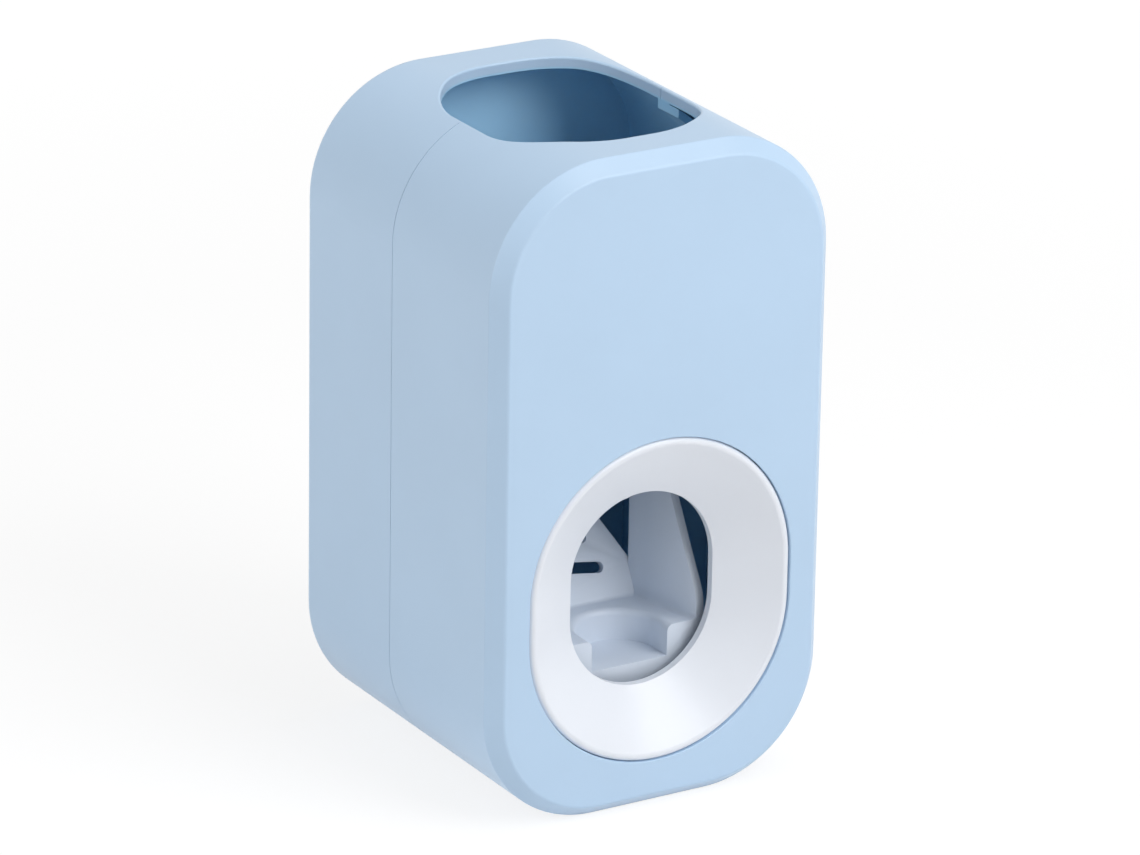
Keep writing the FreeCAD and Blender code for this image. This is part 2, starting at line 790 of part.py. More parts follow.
def add_slotted_plate(body):
    """Plate behind the brush seat. It leans back, narrows to a round crown and has two slots."""
    plate = [
        ("-plate_half", "-plate_thick"),
        ("plate_half", "-plate_thick"),
        ("plate_half", "plate_shoulder"),
        ("plate_neck_half", "plate_neck"),
        ("0", "plate_crown", "via"),
        ("-plate_neck_half", "plate_neck"),
        ("-plate_half", "plate_shoulder"),
    ]
    long_slot = slot_outline("long_slot", "long_slot_up")
    short_slot = slot_outline("short_slot", "short_slot_up")
    sketch = sketch_on(body, "XZ_Plane", "plate_y")
    sketch.AttachmentOffset = FreeCAD.Placement(
        FreeCAD.Vector(), FreeCAD.Rotation(FreeCAD.Vector(-1, 0, 0), number("plate_lean"))
    )
    bind(sketch, **{"AttachmentOffset.Base.y": "seat_top", "AttachmentOffset.Rotation.Angle": "plate_lean"})
    for stops in (plate, long_slot, short_slot):
        outline(sketch, stops)
    carry(body, sketch, "plate_thick", forward=False)


def make_press_pad():
    body = new_body("press_pad")
    half = "pad_width / 2"
    face = rounded_rectangle(
        f"-{half}", half, "bulb_middle - pad_height / 2", "bulb_middle + pad_height / 2", "pad_round"
    )
    extrude(body, "XZ_Plane", "bar_back_y", "bar_back_y + pad_thick", face)
    rod(body, "Y", "0", "bar_back_y - peg_length", "bulb_middle", "peg_length", "peg_radius")
    return body


def make_pivot_pin():
    """Pin with a groove for a clip near each end."""
    body = new_body("pivot_pin")
    rod(body, "X", "-pin_half", "pivot_y", "pivot_height", "2 * pin_half", "groove_radius")
    rod(body, "X", "-clip_inner", "pivot_y", "pivot_height", "2 * clip_inner", "pin_radius")
    for start in ("-pin_half", "pin_half - pin_end"):
        rod(body, "X", start, "pivot_y", "pivot_height", "pin_end", "pin_radius")
    return body


def make_pivot_bushes():
    """Flanged bush in each boss of the lever."""
    bushes = []
    for sleeve_start, flange_start in (
        ("-boss_outer", "-boss_outer - bush_flange"),
        ("arm_half", "boss_outer"),
    ):
        boss_length = "boss_outer - arm_half"
        sleeve = cylinder("X", sleeve_start, "pivot_y", "pivot_height", boss_length, "bush_radius")
        flange = cylinder("X", flange_start, "pivot_y", "pivot_height", "bush_flange", "bush_flange_radius")
        bore_radius = "pin_radius + running_gap"
        bore = cylinder("X", "-ear_inner", "pivot_y", "pivot_height", "2 * ear_inner", bore_radius)
        bushes.append(cut_away(fuse(sleeve, flange), bore))
    return group("pivot_bushes", bushes)


def make_pivot_clips():
    """Open ring in each groove of the pin."""
    clips = []
    for start in ("-clip_outer", "clip_inner"):
        disc = cylinder("X", start, "pivot_y", "pivot_height", "clip_thick", "clip_radius")
        bore = cylinder("X", start, "pivot_y", "pivot_height", "clip_thick", "groove_radius + fit_gap")
        mouth = doc.addObject("Part::Box", "mouth")
        bind(mouth, Length="clip_thick", Width="clip_mouth", Height="clip_radius")
        place(mouth, start, "pivot_y - clip_mouth / 2", "pivot_height")
        clips.append(cut_away(cut_away(disc, bore), mouth))
    return group("pivot_clips", clips)


def biarc(start, start_way, end, end_way):
    """Two arcs that leave start and reach end in the given ways, tangent where they meet."""
    chord = end - start
    ways = start_way + end_way
    spread = 2 * (1 - start_way.dot(end_way))
    reach = (-chord.dot(ways) + math.sqrt(chord.dot(ways) ** 2 + spread * chord.dot(chord))) / spread
    middle = (start + start_way * reach + end - end_way * reach) * 0.5
    return [arc_from(start, start_way, middle), arc_from(end, end_way * -1, middle)]


def arc_from(start, way, end):
    """Arc that leaves start in the given way and passes through end."""
    chord = end - start
    side = chord - way * chord.dot(way)
    side.normalize()
    radius = chord.dot(chord) / (2 * chord.dot(side))
    centre = start + side * radius
    outward = (start + end) * 0.5 - centre
    outward.normalize()
    return Part.Arc(start, centre + outward * radius, end).toShape()


def least_gap_between_turns(spots, apart, wire):
    """Least gap of a wound wire to itself, between points that lie more than a half turn apart."""
    nearest = min(
        one.distanceToPoint(other)
        for index, one in enumerate(spots)
        for other in spots[index + apart:]
    )
    return nearest - wire


def make_return_spring():
    """Torsion spring: one leg presses on the bar from behind, the other sits in the deck's front edge."""
    wire = number("spring_wire")
    radius = number("coil_radius")
    pitch = number("spring_pitch")
    pivot = FreeCAD.Vector(number("spring_start"), number("pivot_y"), number("pivot_height"))
    turns = SIZES["spring_turns"] + 0.75

    def spot(turn):
        angle = 2 * math.pi * turn
        return pivot + FreeCAD.Vector(pitch * turn, radius * math.cos(angle), radius * math.sin(angle))

    def way(turn):
        angle = 2 * math.pi * turn
        heading = FreeCAD.Vector(pitch / (2 * math.pi), -radius * math.sin(angle), radius * math.cos(angle))
        return heading.normalize()

    arm_end = spot(0) - way(0) * number("spring_arm")
    tail_end = spot(turns) + way(turns) * number("spring_tail")
    edges = [Part.LineSegment(arm_end, spot(0)).toShape()]
    half_turns = [half / 2 for half in range(math.ceil(turns * 2))]
    for here, there in zip(half_turns, half_turns[1:] + [turns]):
        edges += biarc(spot(here), way(here), spot(there), way(there))
    edges.append(Part.LineSegment(spot(turns), tail_end).toShape())
    path = Part.Wire(Part.__sortEdges__(edges))
    section = Part.Wire(Part.Circle(arm_end, way(0), wire / 2).toShape())
    spring = doc.addObject("Part::Feature", "return_spring")
    spring.Label = "return_spring"
    spring.Shape = path.makePipeShell([section], True, False)
    steps_per_turn = 24
    spots = [spot(step / steps_per_turn) for step in range(int(turns * steps_per_turn))]
    gap = least_gap_between_turns(spots, steps_per_turn // 2, wire)
    print(f"return_spring: least gap to itself {gap:.2f} mm, volume {spring.Shape.Volume:.1f}, "
          f"section times length {math.pi * wire ** 2 / 4 * path.Length:.1f}")
    return spring


def make_pump_frame():
    body = new_body("pump_frame")
    half = "ear_outer"
    plate = rounded_rectangle(f"-{half}", half, "frame_low", "frame_top", "frame_corner")
    extrude(body, "XZ_Plane", "anvil_y", "frame_back_y", plate)
    # Ears that carry the pivot, joined by the deck and the lever's front stop
    ear = [
        ("frame_back_y", "ear_low"),
        ("stop_front_y", "ear_low"),
        ("stop_front_y", "ear_low + stop_height"),
        ("pivot_y - boss_radius * sqrt(0.5)", "pivot_height + boss_radius * sqrt(0.5)"),
        ("pivot_y", "pivot_height + boss_radius", "via"),
        ("pivot_y + boss_radius * sqrt(0.5)", "pivot_height + boss_radius * sqrt(0.5)"),
        ("pump_y", "cup_floor"),
        ("frame_back_y", "frame_top - frame_corner"),
    ]
    for start, end in (("-ear_outer", "-ear_inner"), ("ear_inner", "ear_outer")):
        extrude(body, "YZ_Plane", start, end, ear)
    span = ("-ear_outer", "ear_outer")
    block(body, span, ("deck_front_y", "frame_back_y"), ("deck_low", "deck_top"))
    block(body, span, ("stop_front_y", "stop_back_y"), ("ear_low", "ear_low + stop_height"))
    # Holes for the pin, the collar's spigot, the spring's leg, the elbow's stub and the screws
    rod(body, "X", "-ear_outer", "pivot_y", "pivot_height", "2 * ear_outer", "pin_radius + fit_gap / 2",
        cut=True)
    rod(body, "Z", "0", "pump_y", "deck_low", "deck_thick", "spigot_radius + fit_gap", cut=True)
    rod(body, "Y", "spring_end + tail_drift", "deck_front_y", "pivot_height - coil_radius",
        "tail_end_y - deck_front_y", "spring_hole_radius", cut=True)
    rod(body, "Y", "0", "anvil_y", "duct_height", "frame_plate", "stub_radius + fit_gap", cut=True)
    for x, z in SCREW_PLACES:
        rod(body, "Y", x, "anvil_y", z, "frame_plate", "screw_radius + fit_gap", cut=True)
    return body


def make_frame_screws():
    """Four screws that hold the frame on the rear shell's bosses."""
    screws = []
    for x, z in SCREW_PLACES:
        head = cylinder("Y", x, "anvil_y - screw_head", z, "screw_head", "screw_head_radius")
        shank_length = "screw_tip_y - slide_gap - anvil_y"
        shank = cylinder("Y", x, "anvil_y", z, shank_length, "screw_radius - fit_gap / 2")
        screws.append(fuse(head, shank))
    return group("frame_screws", screws)


def make_inlet_collar():
    body = new_body("inlet_collar")
    revolve(body, "pump_y", [
        ("inlet_bore", "bulb_top - spigot_depth"),
        ("spigot_radius", "bulb_top - spigot_depth"),
        ("spigot_radius", "deck_top"),
        ("collar_flange_radius", "deck_top"),
        ("collar_flange_radius", "cup_floor"),
        ("cup_radius", "cup_floor"),
        ("cup_radius", "cup_top"),
        ("cup_bore", "cup_top"),
        ("cup_bore", "cup_floor"),
        ("inlet_bore", "cup_floor"),
    ])
    return body


def make_tube_seal():
    """Sleeve that grips the neck of the tube, with a brim on the cup's edge."""
    body = new_body("tube_seal")
    revolve(body, "pump_y", [
        ("seal_bore", "seal_low"),
        ("seal_radius", "seal_low"),
        ("seal_radius", "cup_top"),
        ("cup_radius", "cup_top"),
        ("cup_radius", "cup_top + seal_brim"),
        ("seal_bore", "cup_top + seal_brim"),
    ])
    return body


def make_inlet_valve():
    """Disc with a soft cone that opens downwards."""
    body = new_body("inlet_valve")
    cone_top = "inlet_bore - slide_gap"
    revolve(body, "pump_y", [
        ("valve_slot", "cup_floor - valve_beak"),
        ("valve_slot + valve_skin", "cup_floor - valve_beak"),
        (cone_top, "cup_floor"),
        ("seal_radius", "cup_floor"),
        ("seal_radius", "seal_low"),
        (f"{cone_top} - valve_skin", "seal_low"),
    ])
    return body


def make_squeeze_bulb():
    """Hollow bulb with a neck at each end."""
    body = new_body("squeeze_bulb")
    revolve(body, "pump_y", [
        ("neck_bore", "bulb_bottom"),
        ("neck_radius", "bulb_bottom"),
        ("neck_radius", "bulb_low"),
        ("bulb_radius", "bulb_middle", "via"),
        ("neck_radius", "bulb_high"),
        ("neck_radius", "bulb_top"),
        ("neck_bore", "bulb_top"),
        ("neck_bore", "bulb_high"),
        ("bulb_radius - bulb_wall", "bulb_middle", "via"),
        ("neck_bore", "bulb_low"),
    ])
    return body


def make_bulb_clamp(label, low):
    """Ring round a neck of the bulb."""
    body = new_body(label)
    inner = "neck_radius + fit_gap"
    outer = f"{inner} + clamp_wall"
    high = f"{low} + clamp_height"
    revolve(body, "pump_y", [
        (inner, low),
        (outer, low),
        (f"{outer} + fit_gap", f"{low} + clamp_height / 2", "via"),
        (outer, high),
        (inner, high),
    ])
    return body


def make_outlet_elbow():
    """Duct from the bulb's lower neck forward to the nozzle, with a stub in the frame's plate."""
    body = new_body("outlet_elbow")
    rod(body, "Y", "0", "nozzle_y", "duct_height", "anvil_y - nozzle_y", "duct_radius")
    rod(body, "Y", "0", "anvil_y", "duct_height", "frame_plate", "stub_radius")
    spigot_length = "bulb_bottom + spigot_depth - duct_height"
    rod(body, "Z", "0", "pump_y", "duct_height", spigot_length, "spigot_radius")
    rod(body, "Z", "0", "nozzle_y", "nozzle_low", "nozzle_top - nozzle_low", "nozzle_radius")
    nozzle_edge = within(
        ("-nozzle_radius", "nozzle_radius"),
        ("nozzle_y - nozzle_radius", "nozzle_y + nozzle_radius"),
        ("nozzle_top", "nozzle_top"),
    )
    round_edges(body, "nozzle_round", nozzle_edge)
    rod(body, "Y", "0", "nozzle_y", "duct_height", "pump_y - nozzle_y", "duct_bore", cut=True)
    bore_low = "duct_height - inlet_bore"
    rod(body, "Z", "0", "pump_y", bore_low, f"bulb_low - ({bore_low})", "inlet_bore", cut=True)
    mouth_length = "duct_height + inlet_bore - nozzle_low"
    rod(body, "Z", "0", "nozzle_y", "nozzle_low", mouth_length, "nozzle_bore", cut=True)
    return body


def make_nozzle_valve():
    """Duckbill: a round sleeve in the nozzle that flattens to a slit."""
    body = new_body("nozzle_valve")
    sleeve_radius = "nozzle_bore - fit_gap"
    sleeve_height = "duct_height - duct_bore - beak_top"
    rod(body, "Z", "0", "nozzle_y", "beak_top", sleeve_height, sleeve_radius)
    top = sketch_on(body, "XY_Plane", "beak_top")
    outline(top, two_arcs(sleeve_radius, sleeve_radius, "nozzle_y"))
    tip = sketch_on(body, "XY_Plane", "beak_top - beak_length")
    outline(tip, two_arcs("beak_half_width", "beak_half_thick", "nozzle_y"))
    beak = body.newObject("PartDesign::AdditiveLoft", "nozzle_valve_beak")
    beak.Profile = top
    beak.Sections = [tip]
    rod(body, "Z", "0", "nozzle_y", "beak_top", sleeve_height, f"{sleeve_radius} - valve_skin", cut=True)
    slit_half = "beak_half_width - valve_skin"
    block(body, (f"-({slit_half})", slit_half), ("nozzle_y - beak_slit / 2", "nozzle_y + beak_slit / 2"),
          ("beak_top - beak_length", "beak_top"), cut=True)
    return body


def make_wall_bracket():
    """Plate that stays on the wall, with two hooks that reach through the rear shell's slots."""
    body = new_body("wall_bracket")
    half = "bracket_width / 2"
    plate = rounded_rectangle(
        f"-{half}",
        half,
        "bracket_middle - bracket_height / 2",
        "bracket_middle + bracket_height / 2",
        "bracket_corner - bracket_gap",
    )
    extrude(body, "XZ_Plane", "bracket_front_y", "bracket_back_y", plate)
    hook = [
        ("bracket_front_y + bracket_thick / 2", "hook_height"),
        ("bracket_front_y + bracket_thick / 2", "hook_top"),
        ("hook_back_y", "hook_top"),
        ("hook_back_y", "hook_top + hook_tip"),
        ("hook_front_y", "hook_top + hook_tip"),
        ("hook_front_y", "hook_height"),
    ]
    for side in SIDES:
        middle = f"{side} * hook_x"
        extrude(body, "YZ_Plane", f"{middle} - hook_width / 2", f"{middle} + hook_width / 2", hook)
    return body


def make_adhesive_pad():
    body = new_body("adhesive_pad")
    half = "bracket_width / 2 - adhesive_margin"
    half_height = "bracket_height / 2 - adhesive_margin"
    sheet_outline = rounded_rectangle(
        f"-({half})",
        half,
        f"bracket_middle - ({half_height})",
        f"bracket_middle + {half_height}",
        "bracket_corner - bracket_gap",
    )
    extrude(body, "XZ_Plane", "bracket_back_y", "rear_y", sheet_outline)
    return body


def check_document(pieces):
    """Stop if any object failed or any piece has no sound solid."""
    for thing in doc.Objects:
        if "Invalid" in thing.State or "Error" in thing.State:
            raise ValueError(f"{thing.Name} failed: {thing.State}")
    for piece in pieces:
        if piece.Shape.isNull() or not piece.Shape.isValid() or not piece.Shape.Solids:
            raise ValueError(f"{piece.Label} has no sound solid")


def main():
    fill_sheet()
    clamp_inset = "(neck_length - clamp_height) / 2"
    pieces = [
        make_rear_shell(),
        make_front_shell(),
        make_brush_port(),
        make_push_lever(),
        make_press_pad(),
        make_pivot_pin(),
        make_pivot_bushes(),
        make_pivot_clips(),
        make_return_spring(),
        make_pump_frame(),
        make_frame_screws(),
        make_inlet_collar(),
        make_tube_seal(),
        make_inlet_valve(),
        make_squeeze_bulb(),
        make_bulb_clamp("upper_bulb_clamp", f"bulb_high + {clamp_inset}"),
        make_bulb_clamp("lower_bulb_clamp", f"bulb_bottom + {clamp_inset}"),
        make_outlet_elbow(),
        make_nozzle_valve(),
        make_wall_bracket(),
        make_adhesive_pad(),
    ]
    doc.recompute()
    check_document(pieces)
    os.makedirs("parts", exist_ok=True)
    for piece in pieces:
        piece.Shape.exportStep(f"parts/{piece.Label}.step")
        print(f"{piece.Label}: {len(piece.Shape.Solids)} solids, {piece.Shape.Volume:.0f} mm3")


main()
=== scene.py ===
import math

import bmesh
import bpy
from bpy.props import FloatProperty, FloatVectorProperty, IntProperty, PointerProperty
from bpy.types import Operator, Panel, PropertyGroup
from mathutils import Matrix, Vector


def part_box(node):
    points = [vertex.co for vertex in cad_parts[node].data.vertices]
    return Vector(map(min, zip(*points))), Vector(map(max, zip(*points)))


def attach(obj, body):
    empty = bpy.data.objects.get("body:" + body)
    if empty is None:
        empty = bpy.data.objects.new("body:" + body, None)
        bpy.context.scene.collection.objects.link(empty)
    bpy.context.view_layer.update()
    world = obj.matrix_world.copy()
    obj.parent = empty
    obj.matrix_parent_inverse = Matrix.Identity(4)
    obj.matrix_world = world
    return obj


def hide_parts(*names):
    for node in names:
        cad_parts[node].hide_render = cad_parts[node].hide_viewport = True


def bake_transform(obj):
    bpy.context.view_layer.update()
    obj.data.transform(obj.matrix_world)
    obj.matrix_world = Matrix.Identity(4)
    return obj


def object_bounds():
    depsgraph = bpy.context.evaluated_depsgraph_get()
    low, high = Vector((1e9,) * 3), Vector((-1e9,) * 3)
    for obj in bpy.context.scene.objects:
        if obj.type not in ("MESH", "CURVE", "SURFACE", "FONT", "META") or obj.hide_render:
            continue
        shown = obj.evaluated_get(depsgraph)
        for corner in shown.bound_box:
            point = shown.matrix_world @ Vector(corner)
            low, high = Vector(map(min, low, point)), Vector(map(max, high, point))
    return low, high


bl_info = {
    "name": "Toothpaste Dispenser",
    "version": (1, 0, 0),
    "blender": (4, 5, 0),
    "location": "3D View > Sidebar > Dispenser",
    "description": "Dresses the packed toothpaste dispenser and sets it in a studio",
    "category": "Object",
}

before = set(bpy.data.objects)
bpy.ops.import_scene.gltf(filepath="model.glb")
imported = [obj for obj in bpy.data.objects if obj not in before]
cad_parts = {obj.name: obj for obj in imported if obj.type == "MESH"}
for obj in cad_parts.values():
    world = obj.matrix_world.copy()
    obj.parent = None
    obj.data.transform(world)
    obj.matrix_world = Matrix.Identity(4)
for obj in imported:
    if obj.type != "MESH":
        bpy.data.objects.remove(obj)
CAD_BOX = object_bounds()
MERGE = 1e-6
UP = Vector((0, 0, 1))
SHARP_ANGLE = math.radians(35)
SENSOR_WIDTH = 36.0

# Width of each step in from the press pad's rim, and the share of the crown that it rises
PAD_STEPS = ((0.00025, 0.5), (0.0005, 0.3), (0.0009, 0.15), (0.0012, 0.05))

# Direction of each lamp from the dispenser's middle, and its level
LAMPS = {
    "key_lamp": ((0.3, -0.72, 0.62), 0.5),
    "top_lamp": ((0.2, -0.2, 0.96), 0.25),
    "left_lamp": ((-0.93, 0.25, 0.27), 0.3),
    "low_lamp": ((0.3, -0.95, 0.0), 0.08),
}
LAMP_DISTANCE = 1.0
LAMP_SIZE = 0.6

# The floor's half width, how brightly it glows to the camera, and how far that replaces its shaded
# colour near the dispenser, where the shadow falls, and further off
FLOOR_HALF = 6.0
FLOOR_GLOW = 1.15
GLOW_NEAR = 0.7
GLOW_FAR = 1.0


class DispenserFinish(PropertyGroup):
    """Colours and textures of the dispenser's materials."""

    shell_blue: FloatVectorProperty(
        name="Shell",
        description="Pale blue of the moulded housing",
        subtype="COLOR",
        default=(0.526, 0.703, 0.904),
    )
    # Painted light: a more saturated blue for the inner faces, standing in for light bounced between the
    # blue walls and for shade inside the housing.
    shell_inside_painted_light: FloatVectorProperty(
        name="Shell inside, painted light",
        description="Deeper blue of the housing's inner faces",
        subtype="COLOR",
        default=(0.440, 0.740, 0.980),
    )
    port_white: FloatVectorProperty(
        name="Brush port",
        description="Satin white of the funnel",
        subtype="COLOR",
        default=(0.848, 0.882, 0.945),
    )
    # Painted shade: the lever's white is darkened and tinted blue for the shade and blue bounce light it
    # sits in.
    lever_white: FloatVectorProperty(
        name="Lever",
        description="Cool white of the push lever",
        subtype="COLOR",
        default=(0.672, 0.746, 0.854),
    )
    frame_white: FloatVectorProperty(
        name="Frame",
        description="White of the pump frame, the ducts and the wall plate",
        subtype="COLOR",
        default=(0.780, 0.800, 0.830),
    )
    silicone: FloatVectorProperty(
        name="Silicone",
        description="Milky silicone of the bulb, the seal and the valves",
        subtype="COLOR",
        default=(0.800, 0.820, 0.840),
    )
    bush_grey: FloatVectorProperty(
        name="Bushes",
        description="Grey of the low-friction bushes",
        subtype="COLOR",
        default=(0.550, 0.560, 0.580),
    )
    pad_grey: FloatVectorProperty(
        name="Press pad",
        description="Grey of the rubber pad on the lever",
        subtype="COLOR",
        default=(0.350, 0.360, 0.380),
    )
    adhesive_grey: FloatVectorProperty(
        name="Adhesive pad",
        description="Grey of the adhesive foam behind the wall plate",
        subtype="COLOR",
        default=(0.450, 0.460, 0.470),
    )
    steel: FloatVectorProperty(
        name="Steel",
        description="Colour of the pin, clips, spring, clamps and screws",
        subtype="COLOR",
        default=(0.620, 0.630, 0.650),
    )
    grain_size: FloatProperty(
        name="Grain",
        description="Size of the moulded grain on the shells",
        unit="LENGTH",
        default=0.0005,
    )


class DispenserSizes(PropertyGroup):
    """Sizes of what is modelled over the frame."""

    corner_radius: FloatProperty(
        name="Housing corner",
        description="Radius of the housing's four long corners",
        unit="LENGTH",
        default=0.023,
    )
    wall: FloatProperty(
        name="Housing wall",
        description="Thickness of the housing's wall",
        unit="LENGTH",
        default=0.0022,
    )
    lever_edge: FloatProperty(
        name="Lever edge",
        description="Width of the rounded edges of the lever",
        unit="LENGTH",
        default=0.00025,
    )
    bulb_wall: FloatProperty(
        name="Bulb wall",
        description="Thickness of the silicone bulb",
        unit="LENGTH",
        default=0.0015,
    )
    dent_depth: FloatProperty(
        name="Dent depth",
        description="Depth of the bulb's front that gives way when the lever is pushed",
        unit="LENGTH",
        default=0.0062,
    )
    dent_drop: FloatProperty(
        name="Dent drop",
        description="Height by which the dent's inner end lies below its front",
        unit="LENGTH",
        default=0.0005,
    )
    bulb_fillet: FloatProperty(
        name="Bulb fillet",
        description="Width of the round between the bulb's belly and its necks",
        unit="LENGTH",
        default=0.0008,
    )
    neck_length: FloatProperty(
        name="Bulb neck",
        description="Length of each neck of the bulb",
        unit="LENGTH",
        default=0.004,
    )
    neck_radius: FloatProperty(
        name="Neck radius",
        description="Outer radius of the bulb's necks",
        unit="LENGTH",
        default=0.0064,
    )
    soft_edge: FloatProperty(
        name="Soft edge",
        description="Radius of the rounded edges of the silicone and rubber pieces",
        unit="LENGTH",
        default=0.0003,
    )
    seal_bore: FloatProperty(
        name="Seal bore",
        description="Inner radius of the tube seal at its grip ribs",
        unit="LENGTH",
        default=0.007,
    )
    seal_groove: FloatProperty(
        name="Seal groove",
        description="Depth of the grooves between the seal's grip ribs",
        unit="LENGTH",
        default=0.00035,
    )
    seal_ribs: IntProperty(
        name="Seal ribs",
        description="Number of grip ribs inside the tube seal",
        default=4,
        min=1,
    )
    sleeve_radius: FloatProperty(
        name="Sleeve radius",
        description="Outer radius of the tube seal below its brim",
        unit="LENGTH",
        default=0.00845,
    )
    brim: FloatProperty(
        name="Seal brim",
        description="Thickness of the tube seal's brim",
        unit="LENGTH",
        default=0.0012,
    )
    valve_disc: FloatProperty(
        name="Valve disc",
        description="Thickness of the inlet valve's disc",
        unit="LENGTH",
        default=0.0012,
    )
    valve_throat: FloatProperty(
        name="Valve throat",
        description="Outer radius of the inlet valve's cone at the disc",
        unit="LENGTH",
        default=0.0027,
    )
    valve_slot: FloatProperty(
        name="Valve slot",
        description="Inner radius at the tip of the inlet valve's cone",
        unit="LENGTH",
        default=0.0004,
    )
    valve_skin: FloatProperty(
        name="Valve skin",
        description="Thickness of the soft skin of both valves",
        unit="LENGTH",
        default=0.0007,
    )
    beak_length: FloatProperty(
        name="Beak length",
        description="Length over which the nozzle valve flattens",
        unit="LENGTH",
        default=0.0034,
    )
    beak_half: FloatVectorProperty(
        name="Beak",
        description="Half width and half thickness of the nozzle valve's tip",
        size=2,
        unit="LENGTH",
        default=(0.0028, 0.0008),
    )
    beak_slit: FloatVectorProperty(
        name="Slit",
        description="Half width and half height of the slit in the nozzle valve's tip",
        size=2,
        unit="LENGTH",
        default=(0.0022, 0.00012),
    )
    pad_corner: FloatProperty(
        name="Pad corner",
        description="Corner radius of the press pad",
        unit="LENGTH",
        default=0.003,
    )
    pad_crown: FloatProperty(
        name="Pad crown",
        description="Height by which the press pad's face swells",
        unit="LENGTH",
        default=0.0006,
    )
    peg_length: FloatProperty(
        name="Peg length",
        description="Length of the press pad's peg",
        unit="LENGTH",
        default=0.003,
    )
    peg_radius: FloatProperty(
        name="Peg radius",
        description="Radius of the press pad's peg",
        unit="LENGTH",
        default=0.0018,
    )
    foam_corner: FloatProperty(
        name="Adhesive corner",
        description="Corner radius of the adhesive pad",
        unit="LENGTH",
        default=0.0035,
    )
    spring_lead: FloatProperty(
        name="Spring lead",
        description="Width of the straight arm and of the tail, along the pivot, of the return spring",
        unit="LENGTH",
        default=0.0012,
    )
    screw_head: FloatProperty(
        name="Screw head",
        description="Radius of the frame screws' heads",
        unit="LENGTH",
        default=0.0025,
    )
    screw_head_height: FloatProperty(
        name="Screw head height",
        description="Height of the frame screws' heads",
        unit="LENGTH",
        default=0.0017,
    )
    screw_shank: FloatProperty(
        name="Screw shank",
        description="Radius of the frame screws' shanks",
        unit="LENGTH",
        default=0.001225,
    )
    turns: IntProperty(
        name="Facets",
        description="Faces round each turned piece",
        default=96,
        min=12,
    )


class DispenserStudio(PropertyGroup):
    """Camera and light."""

    target: FloatVectorProperty(
        name="Target",
        description="Point that the camera looks at",
        subtype="TRANSLATION",
        unit="LENGTH",
        default=(0.001137, 0.0, 0.061681),
    )
    azimuth: FloatProperty(
        name="Azimuth",
        description="Turn of the camera about the dispenser, from straight in front",
        subtype="ANGLE",
        default=math.radians(-31.315),
    )
    elevation: FloatProperty(
        name="Elevation",
        description="Angle of the camera above the horizon",
        subtype="ANGLE",
        default=math.radians(20.765),
    )
    roll: FloatProperty(
        name="Roll",
        description="Turn of the camera about its own line of sight",
        subtype="ANGLE",
        default=math.radians(0.993),
    )
    distance: FloatProperty(
        name="Distance",
        description="Distance from the camera to the target",
        unit="LENGTH",
        default=1.23982,
    )
    lens: FloatProperty(
        name="Lens",
        description="Focal length on a 36 mm wide sensor, in millimetres",
        default=214.43,
    )
    surround: FloatProperty(
        name="Surround",
        description="Level of the even light from all round",
        default=0.26,
    )


def new_piece(name, form, slot, *nodes):
    """Make an object from a bmesh. It stands for CAD nodes, which it hides. The slot is not used."""
    mesh = bpy.data.meshes.new(name)
    form.to_mesh(mesh)
    form.free()
    mesh.shade_smooth()
    mesh.set_sharp_from_angle(angle=SHARP_ANGLE)
    piece = bpy.data.objects.new(name, mesh)
    bpy.context.scene.collection.objects.link(piece)
    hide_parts(*nodes)
    return piece


def paint(thing, material):
    """Give an object one material."""
    if not thing.material_slots:
        thing.data.materials.append(material)
    for slot in thing.material_slots:
        slot.material = material


def new_material(name):
    """Start a material. Returns it, its shader and its object coordinates."""
    material = bpy.data.materials.new(name)
    material.use_nodes = True
    nodes = material.node_tree.nodes
    shader = nodes["Principled BSDF"]
    place = nodes.new("ShaderNodeTexCoord")
    return material, shader, place.outputs["Object"]


def add_math(tree, operation, first, second):
    """One step of arithmetic. Each value is a socket or a number."""
    step = tree.nodes.new("ShaderNodeMath")
    step.operation = operation
    for value, socket in zip((first, second), step.inputs):
        if isinstance(value, bpy.types.NodeSocket):
            tree.links.new(value, socket)
        else:
            socket.default_value = value
    return step.outputs["Value"]


def add_range(tree, value, start, end):
    """Carry a value over from one span of numbers to another."""
    span = tree.nodes.new("ShaderNodeMapRange")
    for name, number in zip(("From Min", "From Max", "To Min", "To Max"), (*start, *end)):
        span.inputs[name].default_value = number
    tree.links.new(value, span.inputs["Value"])
    return span.outputs["Result"]


def add_noise(material, place, size):
    """Noise whose blots are about as wide as size."""
    noise = material.node_tree.nodes.new("ShaderNodeTexNoise")
    noise.inputs["Scale"].default_value = 1 / size
    noise.inputs["Detail"].default_value = 3.0
    material.node_tree.links.new(place, noise.inputs["Vector"])
    return noise.outputs["Fac"]


def add_tint(material, shader, noise, colour, drift):
    """Base colour that drifts a little to a darker and a lighter shade."""
    ramp = material.node_tree.nodes.new("ShaderNodeValToRGB")
    dark, light = ramp.color_ramp.elements
    dark.position = 0.3
    light.position = 0.7
    dark.color = [part * (1 - drift) for part in colour] + [1]
    light.color = [min(1, part * (1 + drift)) for part in colour] + [1]
    material.node_tree.links.new(noise, ramp.inputs["Fac"])
    material.node_tree.links.new(ramp.outputs["Color"], shader.inputs["Base Color"])


def add_sheen_range(material, shader, noise, low, high):
    """Roughness that varies over the surface."""
    roughness = add_range(material.node_tree, noise, (0, 1), (low, high))
    material.node_tree.links.new(roughness, shader.inputs["Roughness"])


def add_grain(material, shader, noise, height, strength):
    """Fine relief."""
    bump = material.node_tree.nodes.new("ShaderNodeBump")
    bump.inputs["Strength"].default_value = strength
    bump.inputs["Distance"].default_value = height
    material.node_tree.links.new(noise, bump.inputs["Height"])
    material.node_tree.links.new(bump.outputs["Normal"], shader.inputs["Normal"])


